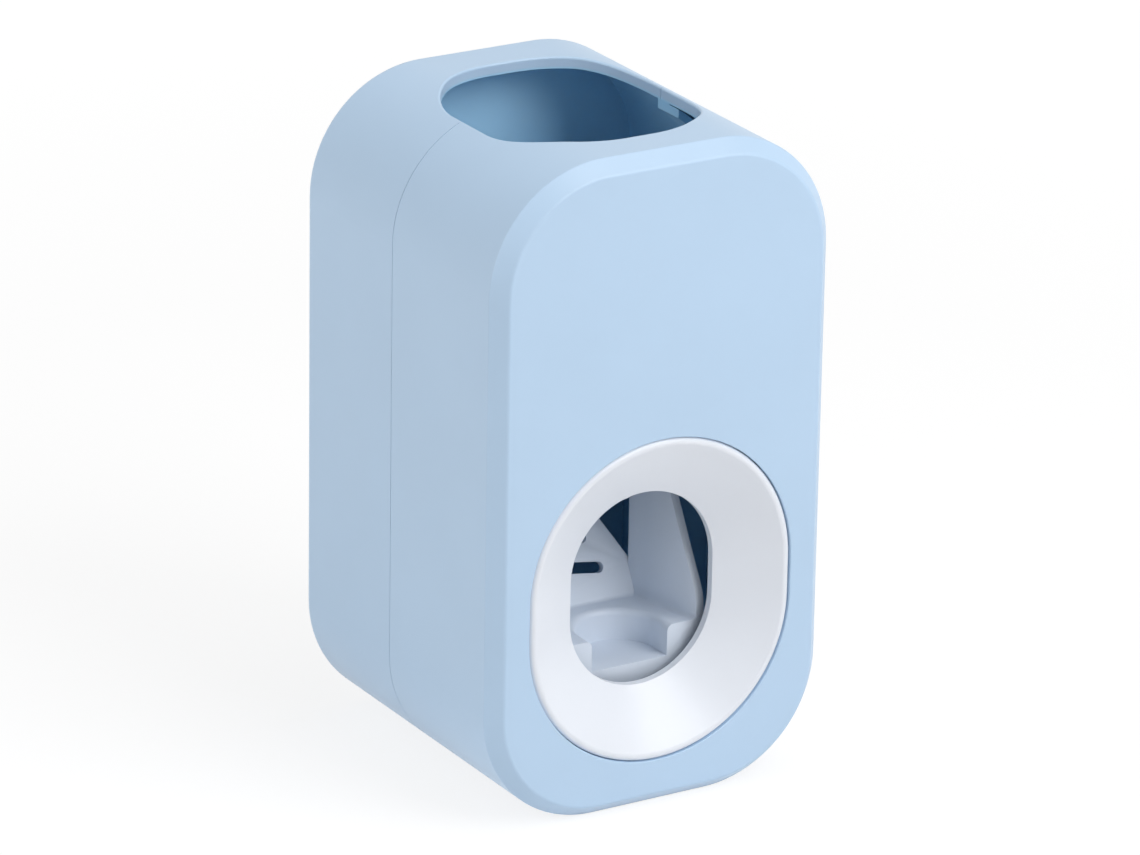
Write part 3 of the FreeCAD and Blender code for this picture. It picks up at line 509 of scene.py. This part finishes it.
def moulded_plastic(name, colour, gloss, grain_size, relief):
    """Moulded plastic. Gloss is the least and the most roughness, relief the strength of its grain."""
    material, shader, place = new_material(name)
    add_tint(material, shader, add_noise(material, place, 0.03), colour, 0.015)
    add_sheen_range(material, shader, add_noise(material, place, 0.012), *gloss)
    add_grain(material, shader, add_noise(material, place, grain_size), 0.0001, relief)
    shader.inputs["IOR"].default_value = 1.5
    return material


def add_vector_step(material, operation, vector, value):
    """One step of vector arithmetic with a fixed second value."""
    step = material.node_tree.nodes.new("ShaderNodeVectorMath")
    step.operation = operation
    step.inputs[1].default_value = value
    material.node_tree.links.new(vector, step.inputs[0])
    return step.outputs["Vector"]


def add_painted_light_mask(material, place, sizes):
    """Mask for painted light: a share that is 0 on the outside of the housing and 1 on its inner faces."""
    tree = material.node_tree
    low, high = CAD_BOX
    half = (high - low) / 2
    core = Vector((half.x - sizes.corner_radius, 0, half.z - sizes.corner_radius))
    offset = add_vector_step(material, "SUBTRACT", place, (low + high) / 2)
    spread = add_vector_step(material, "ABSOLUTE", offset, (0, 0, 0))
    beyond = add_vector_step(material, "SUBTRACT", spread, core)
    corner = add_vector_step(material, "MAXIMUM", beyond, (0, 0, 0))
    across = add_vector_step(material, "MULTIPLY", corner, (1, 0, 1))
    reach = tree.nodes.new("ShaderNodeVectorMath")
    reach.operation = "LENGTH"
    tree.links.new(across, reach.inputs[0])
    parts = tree.nodes.new("ShaderNodeSeparateXYZ")
    tree.links.new(spread, parts.inputs["Vector"])
    to_side = add_math(tree, "SUBTRACT", sizes.corner_radius, reach.outputs["Value"])
    to_face = add_math(tree, "SUBTRACT", half.y, parts.outputs["Y"])
    depth = add_math(tree, "MINIMUM", to_side, to_face)
    return add_range(tree, depth, (sizes.wall * 0.75, sizes.wall * 0.98), (0, 1))


def add_painted_inside_light(material, shader, share, colour):
    """Painted light: a second base colour that takes over with a share, for the bounced light and shade on
    the housing's inner faces.
    """
    tree = material.node_tree
    blend = tree.nodes.new("ShaderNodeMix")
    blend.data_type = "RGBA"
    outside = shader.inputs["Base Color"].links[0].from_socket
    tree.links.new(share, blend.inputs["Factor"])
    tree.links.new(outside, blend.inputs["A"])
    blend.inputs["B"].default_value = (*colour, 1)
    tree.links.new(blend.outputs["Result"], shader.inputs["Base Color"])


def soft_silicone(name, colour):
    """Milky silicone that lets some light in."""
    material, shader, place = new_material(name)
    add_tint(material, shader, add_noise(material, place, 0.006), colour, 0.03)
    add_sheen_range(material, shader, add_noise(material, place, 0.004), 0.32, 0.46)
    add_grain(material, shader, add_noise(material, place, 0.0004), 0.0001, 0.06)
    shader.inputs["IOR"].default_value = 1.41
    shader.inputs["Subsurface Weight"].default_value = 0.35
    shader.inputs["Subsurface Radius"].default_value = (1.0, 0.9, 0.8)
    shader.inputs["Subsurface Scale"].default_value = 0.002
    return material


def soft_rubber(name, colour, pore_size, relief):
    """Matt rubber or foam with fine pores."""
    material, shader, place = new_material(name)
    add_tint(material, shader, add_noise(material, place, 0.002), colour, 0.08)
    add_sheen_range(material, shader, add_noise(material, place, 0.003), 0.62, 0.82)
    add_grain(material, shader, add_noise(material, place, pore_size), 0.0002, relief)
    return material


def drawn_steel(name, colour):
    """Bright steel with fine drawing marks along X."""
    material, shader, place = new_material(name)
    stretch = material.node_tree.nodes.new("ShaderNodeMapping")
    stretch.inputs["Scale"].default_value = (0.1, 1, 1)
    material.node_tree.links.new(place, stretch.inputs["Vector"])
    drawn = stretch.outputs["Vector"]
    add_tint(material, shader, add_noise(material, drawn, 0.003), colour, 0.06)
    add_sheen_range(material, shader, add_noise(material, drawn, 0.0006), 0.22, 0.38)
    add_grain(material, shader, add_noise(material, drawn, 0.0003), 0.00005, 0.1)
    shader.inputs["Metallic"].default_value = 1.0
    return material


def merged_copy(node):
    """Copy of a CAD node's mesh with its doubles merged and its flat faces whole."""
    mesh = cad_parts[node].data.copy()
    mesh.attributes.remove(mesh.attributes["custom_normal"])
    form = bmesh.new()
    form.from_mesh(mesh)
    bpy.data.meshes.remove(mesh)
    bmesh.ops.remove_doubles(form, verts=form.verts, dist=MERGE)
    bmesh.ops.dissolve_limit(
        form,
        angle_limit=math.radians(0.5),
        verts=form.verts,
        edges=form.edges,
        use_dissolve_boundaries=False,
        delimit=set(),
    )
    return form


def bevel(form, geom, width, segments, affect="EDGES"):
    """Round edges or corners."""
    bmesh.ops.bevel(
        form,
        geom=geom,
        offset=width,
        segments=segments,
        profile=0.5,
        affect=affect,
        material=-1,
        clamp_overlap=True,
    )


def round_sharp_edges(form, width):
    """Round the edges whose faces meet sharply."""
    edges = [edge for edge in form.edges if edge.is_manifold and edge.calc_face_angle() > SHARP_ANGLE]
    bevel(form, edges, width, 2)


def new_verts(made):
    """Vertices in what a bmesh operator returns."""
    return [item for item in made["geom"] if isinstance(item, bmesh.types.BMVert)]


def upright_axis(low, high):
    """Foot of the upright axis through a box's middle."""
    return Vector(((low.x + high.x) / 2, (low.y + high.y) / 2, 0))


def spin_full(form, middle, steps):
    """Turn the form's edges once about the upright axis at middle."""
    bmesh.ops.spin(
        form,
        geom=form.verts[:] + form.edges[:],
        cent=middle,
        axis=UP,
        dvec=(0, 0, 0),
        angle=math.tau,
        steps=steps,
        use_merge=True,
        use_duplicate=False,
    )
    bmesh.ops.remove_doubles(form, verts=form.verts, dist=MERGE)
    bmesh.ops.recalc_face_normals(form, faces=form.faces)


def turned(stops, middle, steps, rounding):
    """Turn a closed profile of (radius, height) stops, with its corners rounded, about an upright axis."""
    form = bmesh.new()
    corners = [form.verts.new(middle + Vector((radius, 0, height))) for radius, height in stops]
    form.faces.new(corners)
    bevel(form, corners, rounding, 4, affect="VERTICES")
    bmesh.ops.delete(form, geom=form.faces[:], context="FACES_ONLY")
    spin_full(form, middle, steps)
    return form


def bevel_rings(form, heights, width):
    """Round the edges that lie level at one of the heights."""
    edges = [
        edge
        for edge in form.edges
        for height in heights
        if all(abs(vert.co.z - height) < MERGE for vert in edge.verts) and edge.calc_face_angle(0) > 0.1
    ]
    bevel(form, edges, width, 3)
    bmesh.ops.remove_doubles(form, verts=form.verts, dist=MERGE)


def bulb_form(low, high, sizes):
    """Hollow bulb with a neck at each end. Its belly is an arc that is turned about the upright axis."""
    middle = (low + high) / 2
    half_height = (high.z - low.z) / 2 - sizes.neck_length
    swell = (high.x - low.x) / 2 - sizes.neck_radius
    arc_radius = (half_height ** 2 + swell ** 2) / (2 * swell)
    arc_middle = middle + Vector((sizes.neck_radius + swell - arc_radius, 0, 0))
    form = bmesh.new()
    start = form.verts.new(middle + Vector((sizes.neck_radius, 0, -half_height)))
    made = bmesh.ops.spin(
        form,
        geom=[start],
        cent=arc_middle,
        axis=(0, -1, 0),
        dvec=(0, 0, 0),
        angle=2 * math.asin(half_height / arc_radius),
        steps=20,
    )
    end = next(item for item in made["geom_last"] if isinstance(item, bmesh.types.BMVert))
    for stop, way in ((start, -1), (end, 1)):
        neck = bmesh.ops.extrude_vert_indiv(form, verts=[stop])["verts"]
        bmesh.ops.translate(form, vec=UP * way * sizes.neck_length, verts=neck)
    spin_full(form, upright_axis(low, high), sizes.turns)
    shoulders = [middle.z - half_height, middle.z + half_height]
    bevel_rings(form, shoulders, sizes.bulb_fillet)
    bmesh.ops.solidify(form, geom=form.faces[:], thickness=sizes.bulb_wall)
    bevel_rings(form, [low.z, high.z], sizes.soft_edge)
    return form


def draw_ring(form, ring, middle, scale, rise):
    """Extrude a ring of edges, scale the new ring about middle and move it up."""
    made = bmesh.ops.extrude_edge_only(form, edges=ring)
    verts = new_verts(made)
    bmesh.ops.scale(form, vec=(*scale, 1), space=Matrix.Translation(-middle), verts=verts)
    bmesh.ops.translate(form, vec=UP * rise, verts=verts)
    edges = [item for item in made["geom"] if isinstance(item, bmesh.types.BMEdge)]
    return [edge for edge in edges if all(vert in verts for vert in edge.verts)]


def draw_taper(form, ring, middle, start, end, rise, steps=8):
    """Carry a ring on in steps from its half widths at the start to those at the end, easing in and out."""
    widths = Vector(start)
    for step in range(1, steps + 1):
        share = step / steps
        eased = share * share * (3 - 2 * share)
        following = Vector(start).lerp(Vector(end), eased)
        ring = draw_ring(form, ring, middle, (following.x / widths.x, following.y / widths.y), rise / steps)
        widths = following
    return ring


def duckbill_form(low, high, sizes):
    """Round sleeve that flattens to a slit, with an outer and an inner wall."""
    middle = upright_axis(low, high)
    radius = (high.x - low.x) / 2
    inner = radius - sizes.valve_skin
    sleeve = high.z - low.z - sizes.beak_length
    top = Matrix.Translation(middle + UP * high.z)
    form = bmesh.new()
    bmesh.ops.create_circle(form, segments=64, radius=radius, matrix=top)
    first = form.edges[:]
    ring = draw_ring(form, first, middle, (1, 1), -sleeve)
    ring = draw_taper(form, ring, middle, (radius, radius), sizes.beak_half, -sizes.beak_length)
    slit = [share / whole for share, whole in zip(sizes.beak_slit, sizes.beak_half)]
    ring = draw_ring(form, ring, middle, slit, 0)
    ring = draw_taper(form, ring, middle, sizes.beak_slit, (inner, inner), sizes.beak_length)
    ring = draw_ring(form, ring, middle, (1, 1), sleeve)
    bmesh.ops.bridge_loops(form, edges=ring + first)
    bmesh.ops.recalc_face_normals(form, faces=form.faces)
    return form


def slab(low, high, corner):
    """Flat slab with round corners that fills a box, thin along Y. Returns its rear face too."""
    form = bmesh.new()
    bmesh.ops.create_grid(form, x_segments=1, y_segments=1, size=0.5)
    middle = (low + high) / 2
    upright = Matrix.Rotation(math.radians(90), 4, "X")
    spread = Matrix.Diagonal((high.x - low.x, 1, high.z - low.z, 1))
    bmesh.ops.transform(form, matrix=spread @ upright, verts=form.verts)
    bmesh.ops.translate(form, vec=(middle.x, low.y, middle.z), verts=form.verts)
    bevel(form, form.verts[:], corner, 8, affect="VERTICES")
    made = bmesh.ops.extrude_face_region(form, geom=form.faces[:])
    bmesh.ops.translate(form, vec=(0, high.y - low.y, 0), verts=new_verts(made))
    bmesh.ops.recalc_face_normals(form, faces=form.faces)
    face = max(form.faces, key=lambda item: item.calc_center_median().y)
    return form, face


def press_pad_form(low, high, sizes):
    """Rubber pad with a swollen face, and the peg that holds it in the lever's bar."""
    back = Vector((low.x, low.y + sizes.peg_length, low.z))
    rim = Vector((high.x, high.y - sizes.pad_crown, high.z))
    form, face = slab(back, rim, sizes.pad_corner)
    for inset, rise in PAD_STEPS:
        bmesh.ops.inset_region(
            form, faces=[face], thickness=inset, depth=rise * sizes.pad_crown, use_even_offset=True
        )
    middle = (low + high) / 2
    peg_length = sizes.peg_length + sizes.soft_edge
    place = Matrix.Translation((middle.x, low.y + peg_length / 2, middle.z))
    bmesh.ops.create_cone(
        form,
        cap_ends=True,
        segments=40,
        radius1=sizes.peg_radius,
        radius2=sizes.peg_radius,
        depth=peg_length,
        matrix=place @ Matrix.Rotation(math.radians(90), 4, "X"),
    )
    return form


def adhesive_form(low, high, sizes):
    """Foam sheet with softly rounded edges."""
    form, _ = slab(low, high, sizes.foam_corner)
    round_sharp_edges(form, sizes.soft_edge)
    return form


def seal_form(low, high, sizes):
    """Sleeve with a brim and rounded grip ribs in its bore."""
    middle = upright_axis(low, high)
    pitch = (high.z - low.z) / sizes.seal_ribs
    stops = [
        (sizes.sleeve_radius, low.z),
        (sizes.sleeve_radius, high.z - sizes.brim),
        ((high.x - low.x) / 2, high.z - sizes.brim),
        ((high.x - low.x) / 2, high.z),
    ]
    groove = sizes.seal_bore + sizes.seal_groove
    for rib in range(sizes.seal_ribs):
        top = high.z - rib * pitch
        stops += [
            (sizes.seal_bore, top),
            (sizes.seal_bore, top - pitch * 0.4),
            (groove, top - pitch * 0.55),
            (groove, top - pitch * 0.85),
        ]
    stops.append((groove, low.z))
    return turned(stops, middle, sizes.turns, sizes.soft_edge)


def inlet_valve_form(low, high, sizes):
    """Disc with a soft cone that opens downwards."""
    middle = upright_axis(low, high)
    edge = (high.x - low.x) / 2
    underside = high.z - sizes.valve_disc
    stops = [
        (sizes.valve_slot, low.z),
        (sizes.valve_slot + sizes.valve_skin, low.z),
        (sizes.valve_throat, underside),
        (edge, underside),
        (edge, high.z),
        (sizes.valve_throat - sizes.valve_skin, high.z),
    ]
    return turned(stops, middle, sizes.turns, sizes.soft_edge)


def screw_form(length, sizes):
    """Pan-head screw with a cross recess, on the upright axis with its head's top at height 0."""
    head = sizes.screw_head
    height = sizes.screw_head_height
    # Radius and height, from the flat on the head to the tip
    stops = [
        (head * 0.62, 0),
        (head * 0.86, -height * 0.12),
        (head, -height * 0.5),
        (head, -height),
        (sizes.screw_shank, -height),
        (sizes.screw_shank, -length + sizes.screw_shank),
        (0, -length),
    ]
    form = bmesh.new()
    corners = [form.verts.new((radius, 0, level)) for radius, level in stops]
    for one, other in zip(corners, corners[1:]):
        form.edges.new((one, other))
    spin_full(form, Vector(), 48)
    rim = [edge for edge in form.edges if edge.is_boundary]
    arm = head * 0.55
    waist = 0.6
    taper = 0.6
    depth = height * 0.6
    cross = bmesh.ops.create_grid(form, x_segments=3, y_segments=3, size=arm)["verts"]
    for vert in cross:
        vert.co.x *= 1 if abs(vert.co.x) > arm / 2 else waist
        vert.co.y *= 1 if abs(vert.co.y) > arm / 2 else waist
    squares = list({face for vert in cross for face in vert.link_faces})
    spare = [face for face in squares if min(abs(part) for part in face.calc_center_median().xy) > arm / 4]
    bmesh.ops.delete(form, geom=spare, context="FACES")
    recess = [face for face in squares if face.is_valid]
    outline = [edge for face in recess for edge in face.edges if edge.is_boundary]
    bmesh.ops.bridge_loops(form, edges=rim + outline)
    made = bmesh.ops.extrude_face_region(form, geom=recess)
    bmesh.ops.delete(form, geom=recess, context="FACES")
    floor = new_verts(made)
    bmesh.ops.scale(form, vec=(taper, taper, 1), verts=floor)
    bmesh.ops.translate(form, vec=UP * -depth, verts=floor)
    bmesh.ops.recalc_face_normals(form, faces=form.faces)
    return form


class DISPENSER_OT_shells(Operator):
    """Finish the two shells of the housing"""

    bl_idname = "dispenser.shells"
    bl_label = "Shells"

    def execute(self, context):
        finish = context.scene.dispenser_finish
        grain = finish.grain_size
        blue = moulded_plastic("shell_blue", finish.shell_blue, (0.34, 0.44), grain, relief=0.05)
        shader = blue.node_tree.nodes["Principled BSDF"]
        place = blue.node_tree.nodes["Texture Coordinate"].outputs["Object"]
        # Painted light: the inner faces take a more saturated blue that stands in for light bounced between
        # the blue walls.
        share = add_painted_light_mask(blue, place, context.scene.dispenser_sizes)
        add_painted_inside_light(blue, shader, share, finish.shell_inside_painted_light)
        for node in ("front_shell", "rear_shell"):
            paint(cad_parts[node], blue)
        return {"FINISHED"}


class DISPENSER_OT_port(Operator):
    """Finish the brush port"""

    bl_idname = "dispenser.port"
    bl_label = "Brush port"

    def execute(self, context):
        finish = context.scene.dispenser_finish
        white = moulded_plastic("port_white", finish.port_white, (0.26, 0.34), 0.0012, relief=0.03)
        paint(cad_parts["brush_port"], white)
        return {"FINISHED"}


class DISPENSER_OT_lever(Operator):
    """Round the edges of the push lever"""

    bl_idname = "dispenser.lever"
    bl_label = "Push lever"

    def execute(self, context):
        finish = context.scene.dispenser_finish
        sizes = context.scene.dispenser_sizes
        form = merged_copy("push_lever")
        round_sharp_edges(form, sizes.lever_edge)
        lever = new_piece("push_lever_rounded", form, "lever_white", "push_lever")
        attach(lever, "lever")
        # Painted shade: the lever's material is darker and bluer than its white plastic.
        paint(lever, moulded_plastic("lever_white", finish.lever_white, (0.36, 0.48), 0.0004, relief=0.06))
        return {"FINISHED"}


class DISPENSER_OT_frame(Operator):
    """Finish the pump frame and the stiff ducts on it"""

    bl_idname = "dispenser.frame"
    bl_label = "Pump frame"

    def execute(self, context):
        finish = context.scene.dispenser_finish
        white = moulded_plastic("frame_white", finish.frame_white, (0.40, 0.52), 0.0005, relief=0.06)
        for node in ("pump_frame", "inlet_collar", "outlet_elbow"):
            paint(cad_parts[node], white)
        return {"FINISHED"}


class DISPENSER_OT_pivot(Operator):
    """Finish the lever's pin with its bushes and clips, and the bulb's clamps"""

    bl_idname = "dispenser.pivot"
    bl_label = "Pivot"

    def execute(self, context):
        finish = context.scene.dispenser_finish
        steel = drawn_steel("steel", finish.steel)
        for node in ("pivot_pin", "pivot_clips", "upper_bulb_clamp", "lower_bulb_clamp"):
            paint(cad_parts[node], steel)
        grey = moulded_plastic("bush_grey", finish.bush_grey, (0.45, 0.58), 0.0004, relief=0.08)
        paint(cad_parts["pivot_bushes"], grey)
        return {"FINISHED"}


class DISPENSER_OT_spring(Operator):
    """Make the return spring, which winds up from its tail to the arm that the lever pushes"""

    bl_idname = "dispenser.spring"
    bl_label = "Return spring"

    def execute(self, context):
        form = merged_copy("return_spring")
        spring = new_piece("return_spring_wound", form, "steel", "return_spring")
        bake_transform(spring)
        paint(spring, bpy.data.materials["steel"])
        return {"FINISHED"}


class DISPENSER_OT_screws(Operator):
    """Make the frame's four screws"""

    bl_idname = "dispenser.screws"
    bl_label = "Screws"

    def execute(self, context):
        sizes = context.scene.dispenser_sizes
        low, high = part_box("frame_screws")
        form = screw_form(high.y - low.y, sizes)
        head = sizes.screw_head
        first = Matrix.Translation((low.x + head, low.y, low.z + head))
        lying = Matrix.Rotation(math.radians(90), 4, "X")
        bmesh.ops.transform(form, matrix=first @ lying, verts=form.verts)
        for way in (Vector((high.x - low.x - 2 * head, 0, 0)), Vector((0, 0, high.z - low.z - 2 * head))):
            made = bmesh.ops.duplicate(form, geom=form.verts[:] + form.edges[:] + form.faces[:])
            bmesh.ops.translate(form, vec=way, verts=new_verts(made))
        screws = new_piece("frame_screws_crossed", form, "steel", "frame_screws")
        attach(screws, "housing")
        paint(screws, bpy.data.materials["steel"])
        return {"FINISHED"}


class DISPENSER_OT_wall_mount(Operator):
    """Finish the wall plate and make its adhesive pad"""

    bl_idname = "dispenser.wall_mount"
    bl_label = "Wall mount"

    def execute(self, context):
        finish = context.scene.dispenser_finish
        sizes = context.scene.dispenser_sizes
        white = moulded_plastic("bracket_white", finish.frame_white, (0.40, 0.52), 0.0005, relief=0.06)
        paint(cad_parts["wall_bracket"], white)
        form = adhesive_form(*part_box("adhesive_pad"), sizes)
        foam = new_piece("adhesive_foam", form, "adhesive_grey", "adhesive_pad")
        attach(foam, "wall_plate")
        paint(foam, soft_rubber("adhesive_grey", finish.adhesive_grey, 0.0004, relief=0.25))
        return {"FINISHED"}


class DISPENSER_OT_bulb(Operator):
    """Make the squeeze bulb"""

    bl_idname = "dispenser.bulb"
    bl_label = "Squeeze bulb"

    def execute(self, context):
        finish = context.scene.dispenser_finish
        sizes = context.scene.dispenser_sizes
        low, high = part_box("squeeze_bulb")
        bulb = new_piece("squeeze_bulb_soft", bulb_form(low, high, sizes), "silicone", "squeeze_bulb")
        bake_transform(bulb)
        paint(bulb, soft_silicone("silicone", finish.silicone))
        return {"FINISHED"}


class DISPENSER_OT_valves(Operator):
    """Make the tube seal and the two silicone valves"""

    bl_idname = "dispenser.valves"
    bl_label = "Seal and valves"

    def execute(self, context):
        sizes = context.scene.dispenser_sizes
        for node, shape in (
            ("tube_seal", seal_form),
            ("inlet_valve", inlet_valve_form),
            ("nozzle_valve", duckbill_form),
        ):
            piece = new_piece(f"{node}_soft", shape(*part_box(node), sizes), "silicone", node)
            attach(piece, "housing")
            paint(piece, bpy.data.materials["silicone"])
        return {"FINISHED"}


class DISPENSER_OT_press_pad(Operator):
    """Make the rubber pad on the lever"""

    bl_idname = "dispenser.press_pad"
    bl_label = "Press pad"

    def execute(self, context):
        finish = context.scene.dispenser_finish
        sizes = context.scene.dispenser_sizes
        form = press_pad_form(*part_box("press_pad"), sizes)
        pad = new_piece("press_pad_soft", form, "pad_grey", "press_pad")
        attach(pad, "lever")
        paint(pad, soft_rubber("pad_grey", finish.pad_grey, 0.0005, relief=0.15))
        return {"FINISHED"}


def add_lamp(name, way, level):
    """Square lamp that shines from a direction on the dispenser's middle."""
    lamp = bpy.data.lights.new(name, "AREA")
    lamp.shape = "SQUARE"
    lamp.size = LAMP_SIZE
    lamp.energy = level * (math.pi * LAMP_DISTANCE) ** 2
    holder = bpy.data.objects.new(name, lamp)
    bpy.context.scene.collection.objects.link(holder)
    middle = (CAD_BOX[0] + CAD_BOX[1]) / 2
    back = Vector(way).normalized()
    holder.location = middle + back * LAMP_DISTANCE
    holder.rotation_euler = back.to_track_quat("Z", "Y").to_euler()


def add_seen(tree):
    """Value that is 1 to the camera and in reflections, and 0 elsewhere."""
    path = tree.nodes.new("ShaderNodeLightPath")
    seen = path.outputs["Is Camera Ray"]
    for ray in ("Is Glossy Ray", "Is Transmission Ray"):
        seen = add_math(tree, "MAXIMUM", seen, path.outputs[ray])
    return seen


def add_floor():
    """Pale floor under the dispenser. It keeps the shadow and fades to white further off."""
    form = bmesh.new()
    bmesh.ops.create_grid(form, x_segments=1, y_segments=1, size=FLOOR_HALF)
    mesh = bpy.data.meshes.new("floor")
    form.to_mesh(mesh)
    form.free()
    floor = bpy.data.objects.new("floor", mesh)
    bpy.context.scene.collection.objects.link(floor)
    material, shader, place = new_material("floor_white")
    add_tint(material, shader, add_noise(material, place, 0.4), (0.86, 0.86, 0.86), 0.01)
    shader.inputs["Roughness"].default_value = 0.9
    shader.inputs["Specular IOR Level"].default_value = 0.0
    tree = material.node_tree
    glow = tree.nodes.new("ShaderNodeEmission")
    glow.inputs["Strength"].default_value = FLOOR_GLOW
    nearness = tree.nodes.new("ShaderNodeTexGradient")
    nearness.gradient_type = "SPHERICAL"
    tree.links.new(place, nearness.inputs["Vector"])
    share = add_range(tree, nearness.outputs["Fac"], (0, 0.75), (GLOW_FAR, GLOW_NEAR))
    blend = tree.nodes.new("ShaderNodeMixShader")
    tree.links.new(add_math(tree, "MULTIPLY", add_seen(tree), share), blend.inputs["Fac"])
    tree.links.new(shader.outputs["BSDF"], blend.inputs[1])
    tree.links.new(glow.outputs["Emission"], blend.inputs[2])
    tree.links.new(blend.outputs["Shader"], tree.nodes["Material Output"].inputs["Surface"])
    paint(floor, material)


def add_world(level):
    """White surround that lights the dispenser at a level and shows white behind it."""
    world = bpy.data.worlds.new("studio")
    world.use_nodes = True
    bpy.context.scene.world = world
    tree = world.node_tree
    sky = tree.nodes["Background"]
    sky.inputs["Color"].default_value = (1, 1, 1, 1)
    extra = add_math(tree, "MULTIPLY", add_seen(tree), 1 - level)
    tree.links.new(add_math(tree, "ADD", extra, level), sky.inputs["Strength"])


def add_camera(studio):
    """Camera at the given turn and height about its target."""
    azimuth = studio.azimuth
    elevation = studio.elevation
    back = Vector((
        math.sin(azimuth) * math.cos(elevation),
        -math.cos(azimuth) * math.cos(elevation),
        math.sin(elevation),
    ))
    right = Vector((math.cos(azimuth), math.sin(azimuth), 0))
    turn = Matrix((right, back.cross(right), back)).transposed()
    turn = turn @ Matrix.Rotation(studio.roll, 3, "Z")
    lens = bpy.data.cameras.new("camera")
    lens.sensor_fit = "HORIZONTAL"
    lens.sensor_width = SENSOR_WIDTH
    lens.lens = studio.lens
    camera = bpy.data.objects.new("camera", lens)
    bpy.context.scene.collection.objects.link(camera)
    camera.matrix_world = Matrix.Translation(Vector(studio.target) + back * studio.distance) @ turn.to_4x4()
    bpy.context.scene.camera = camera


class DISPENSER_OT_stage(Operator):
    """Set the floor, light and camera"""

    bl_idname = "dispenser.stage"
    bl_label = "Studio"

    def execute(self, context):
        studio = context.scene.dispenser_studio
        add_floor()
        add_world(studio.surround)
        for name, (way, level) in LAMPS.items():
            add_lamp(name, way, level)
        add_camera(studio)
        context.scene.view_settings.view_transform = "Standard"
        return {"FINISHED"}


OPERATORS = (
    DISPENSER_OT_shells,
    DISPENSER_OT_port,
    DISPENSER_OT_lever,
    DISPENSER_OT_frame,
    DISPENSER_OT_pivot,
    DISPENSER_OT_spring,
    DISPENSER_OT_screws,
    DISPENSER_OT_wall_mount,
    DISPENSER_OT_bulb,
    DISPENSER_OT_valves,
    DISPENSER_OT_press_pad,
    DISPENSER_OT_stage,
)


class DISPENSER_PT_pieces(Panel):
    """Buttons and values of the dispenser"""

    bl_idname = "DISPENSER_PT_pieces"
    bl_label = "Toothpaste dispenser"
    bl_space_type = "VIEW_3D"
    bl_region_type = "UI"
    bl_category = "Dispenser"

    def draw(self, context):
        scene = context.scene
        for operator in OPERATORS:
            self.layout.operator(operator.bl_idname)
        for group in (scene.dispenser_finish, scene.dispenser_sizes, scene.dispenser_studio):
            box = self.layout.box()
            for name in group.__annotations__:
                box.prop(group, name)


CLASSES = (DispenserFinish, DispenserSizes, DispenserStudio, *OPERATORS, DISPENSER_PT_pieces)


def register():
    """Add the classes and the scene's groups of values."""
    for item in CLASSES:
        bpy.utils.register_class(item)
    bpy.types.Scene.dispenser_finish = PointerProperty(type=DispenserFinish)
    bpy.types.Scene.dispenser_sizes = PointerProperty(type=DispenserSizes)
    bpy.types.Scene.dispenser_studio = PointerProperty(type=DispenserStudio)


def unregister():
    """Take the classes and the groups of values away again."""
    del bpy.types.Scene.dispenser_studio
    del bpy.types.Scene.dispenser_sizes
    del bpy.types.Scene.dispenser_finish
    for item in reversed(CLASSES):
        bpy.utils.unregister_class(item)


def main():
    """Build the whole scene in order."""
    register()
    bpy.ops.dispenser.shells()
    bpy.ops.dispenser.port()
    bpy.ops.dispenser.lever()
    bpy.ops.dispenser.frame()
    bpy.ops.dispenser.pivot()
    bpy.ops.dispenser.spring()
    bpy.ops.dispenser.screws()
    bpy.ops.dispenser.wall_mount()
    bpy.ops.dispenser.bulb()
    bpy.ops.dispenser.valves()
    bpy.ops.dispenser.press_pad()
    bpy.ops.dispenser.stage()


if __name__ == "__main__":
    main()
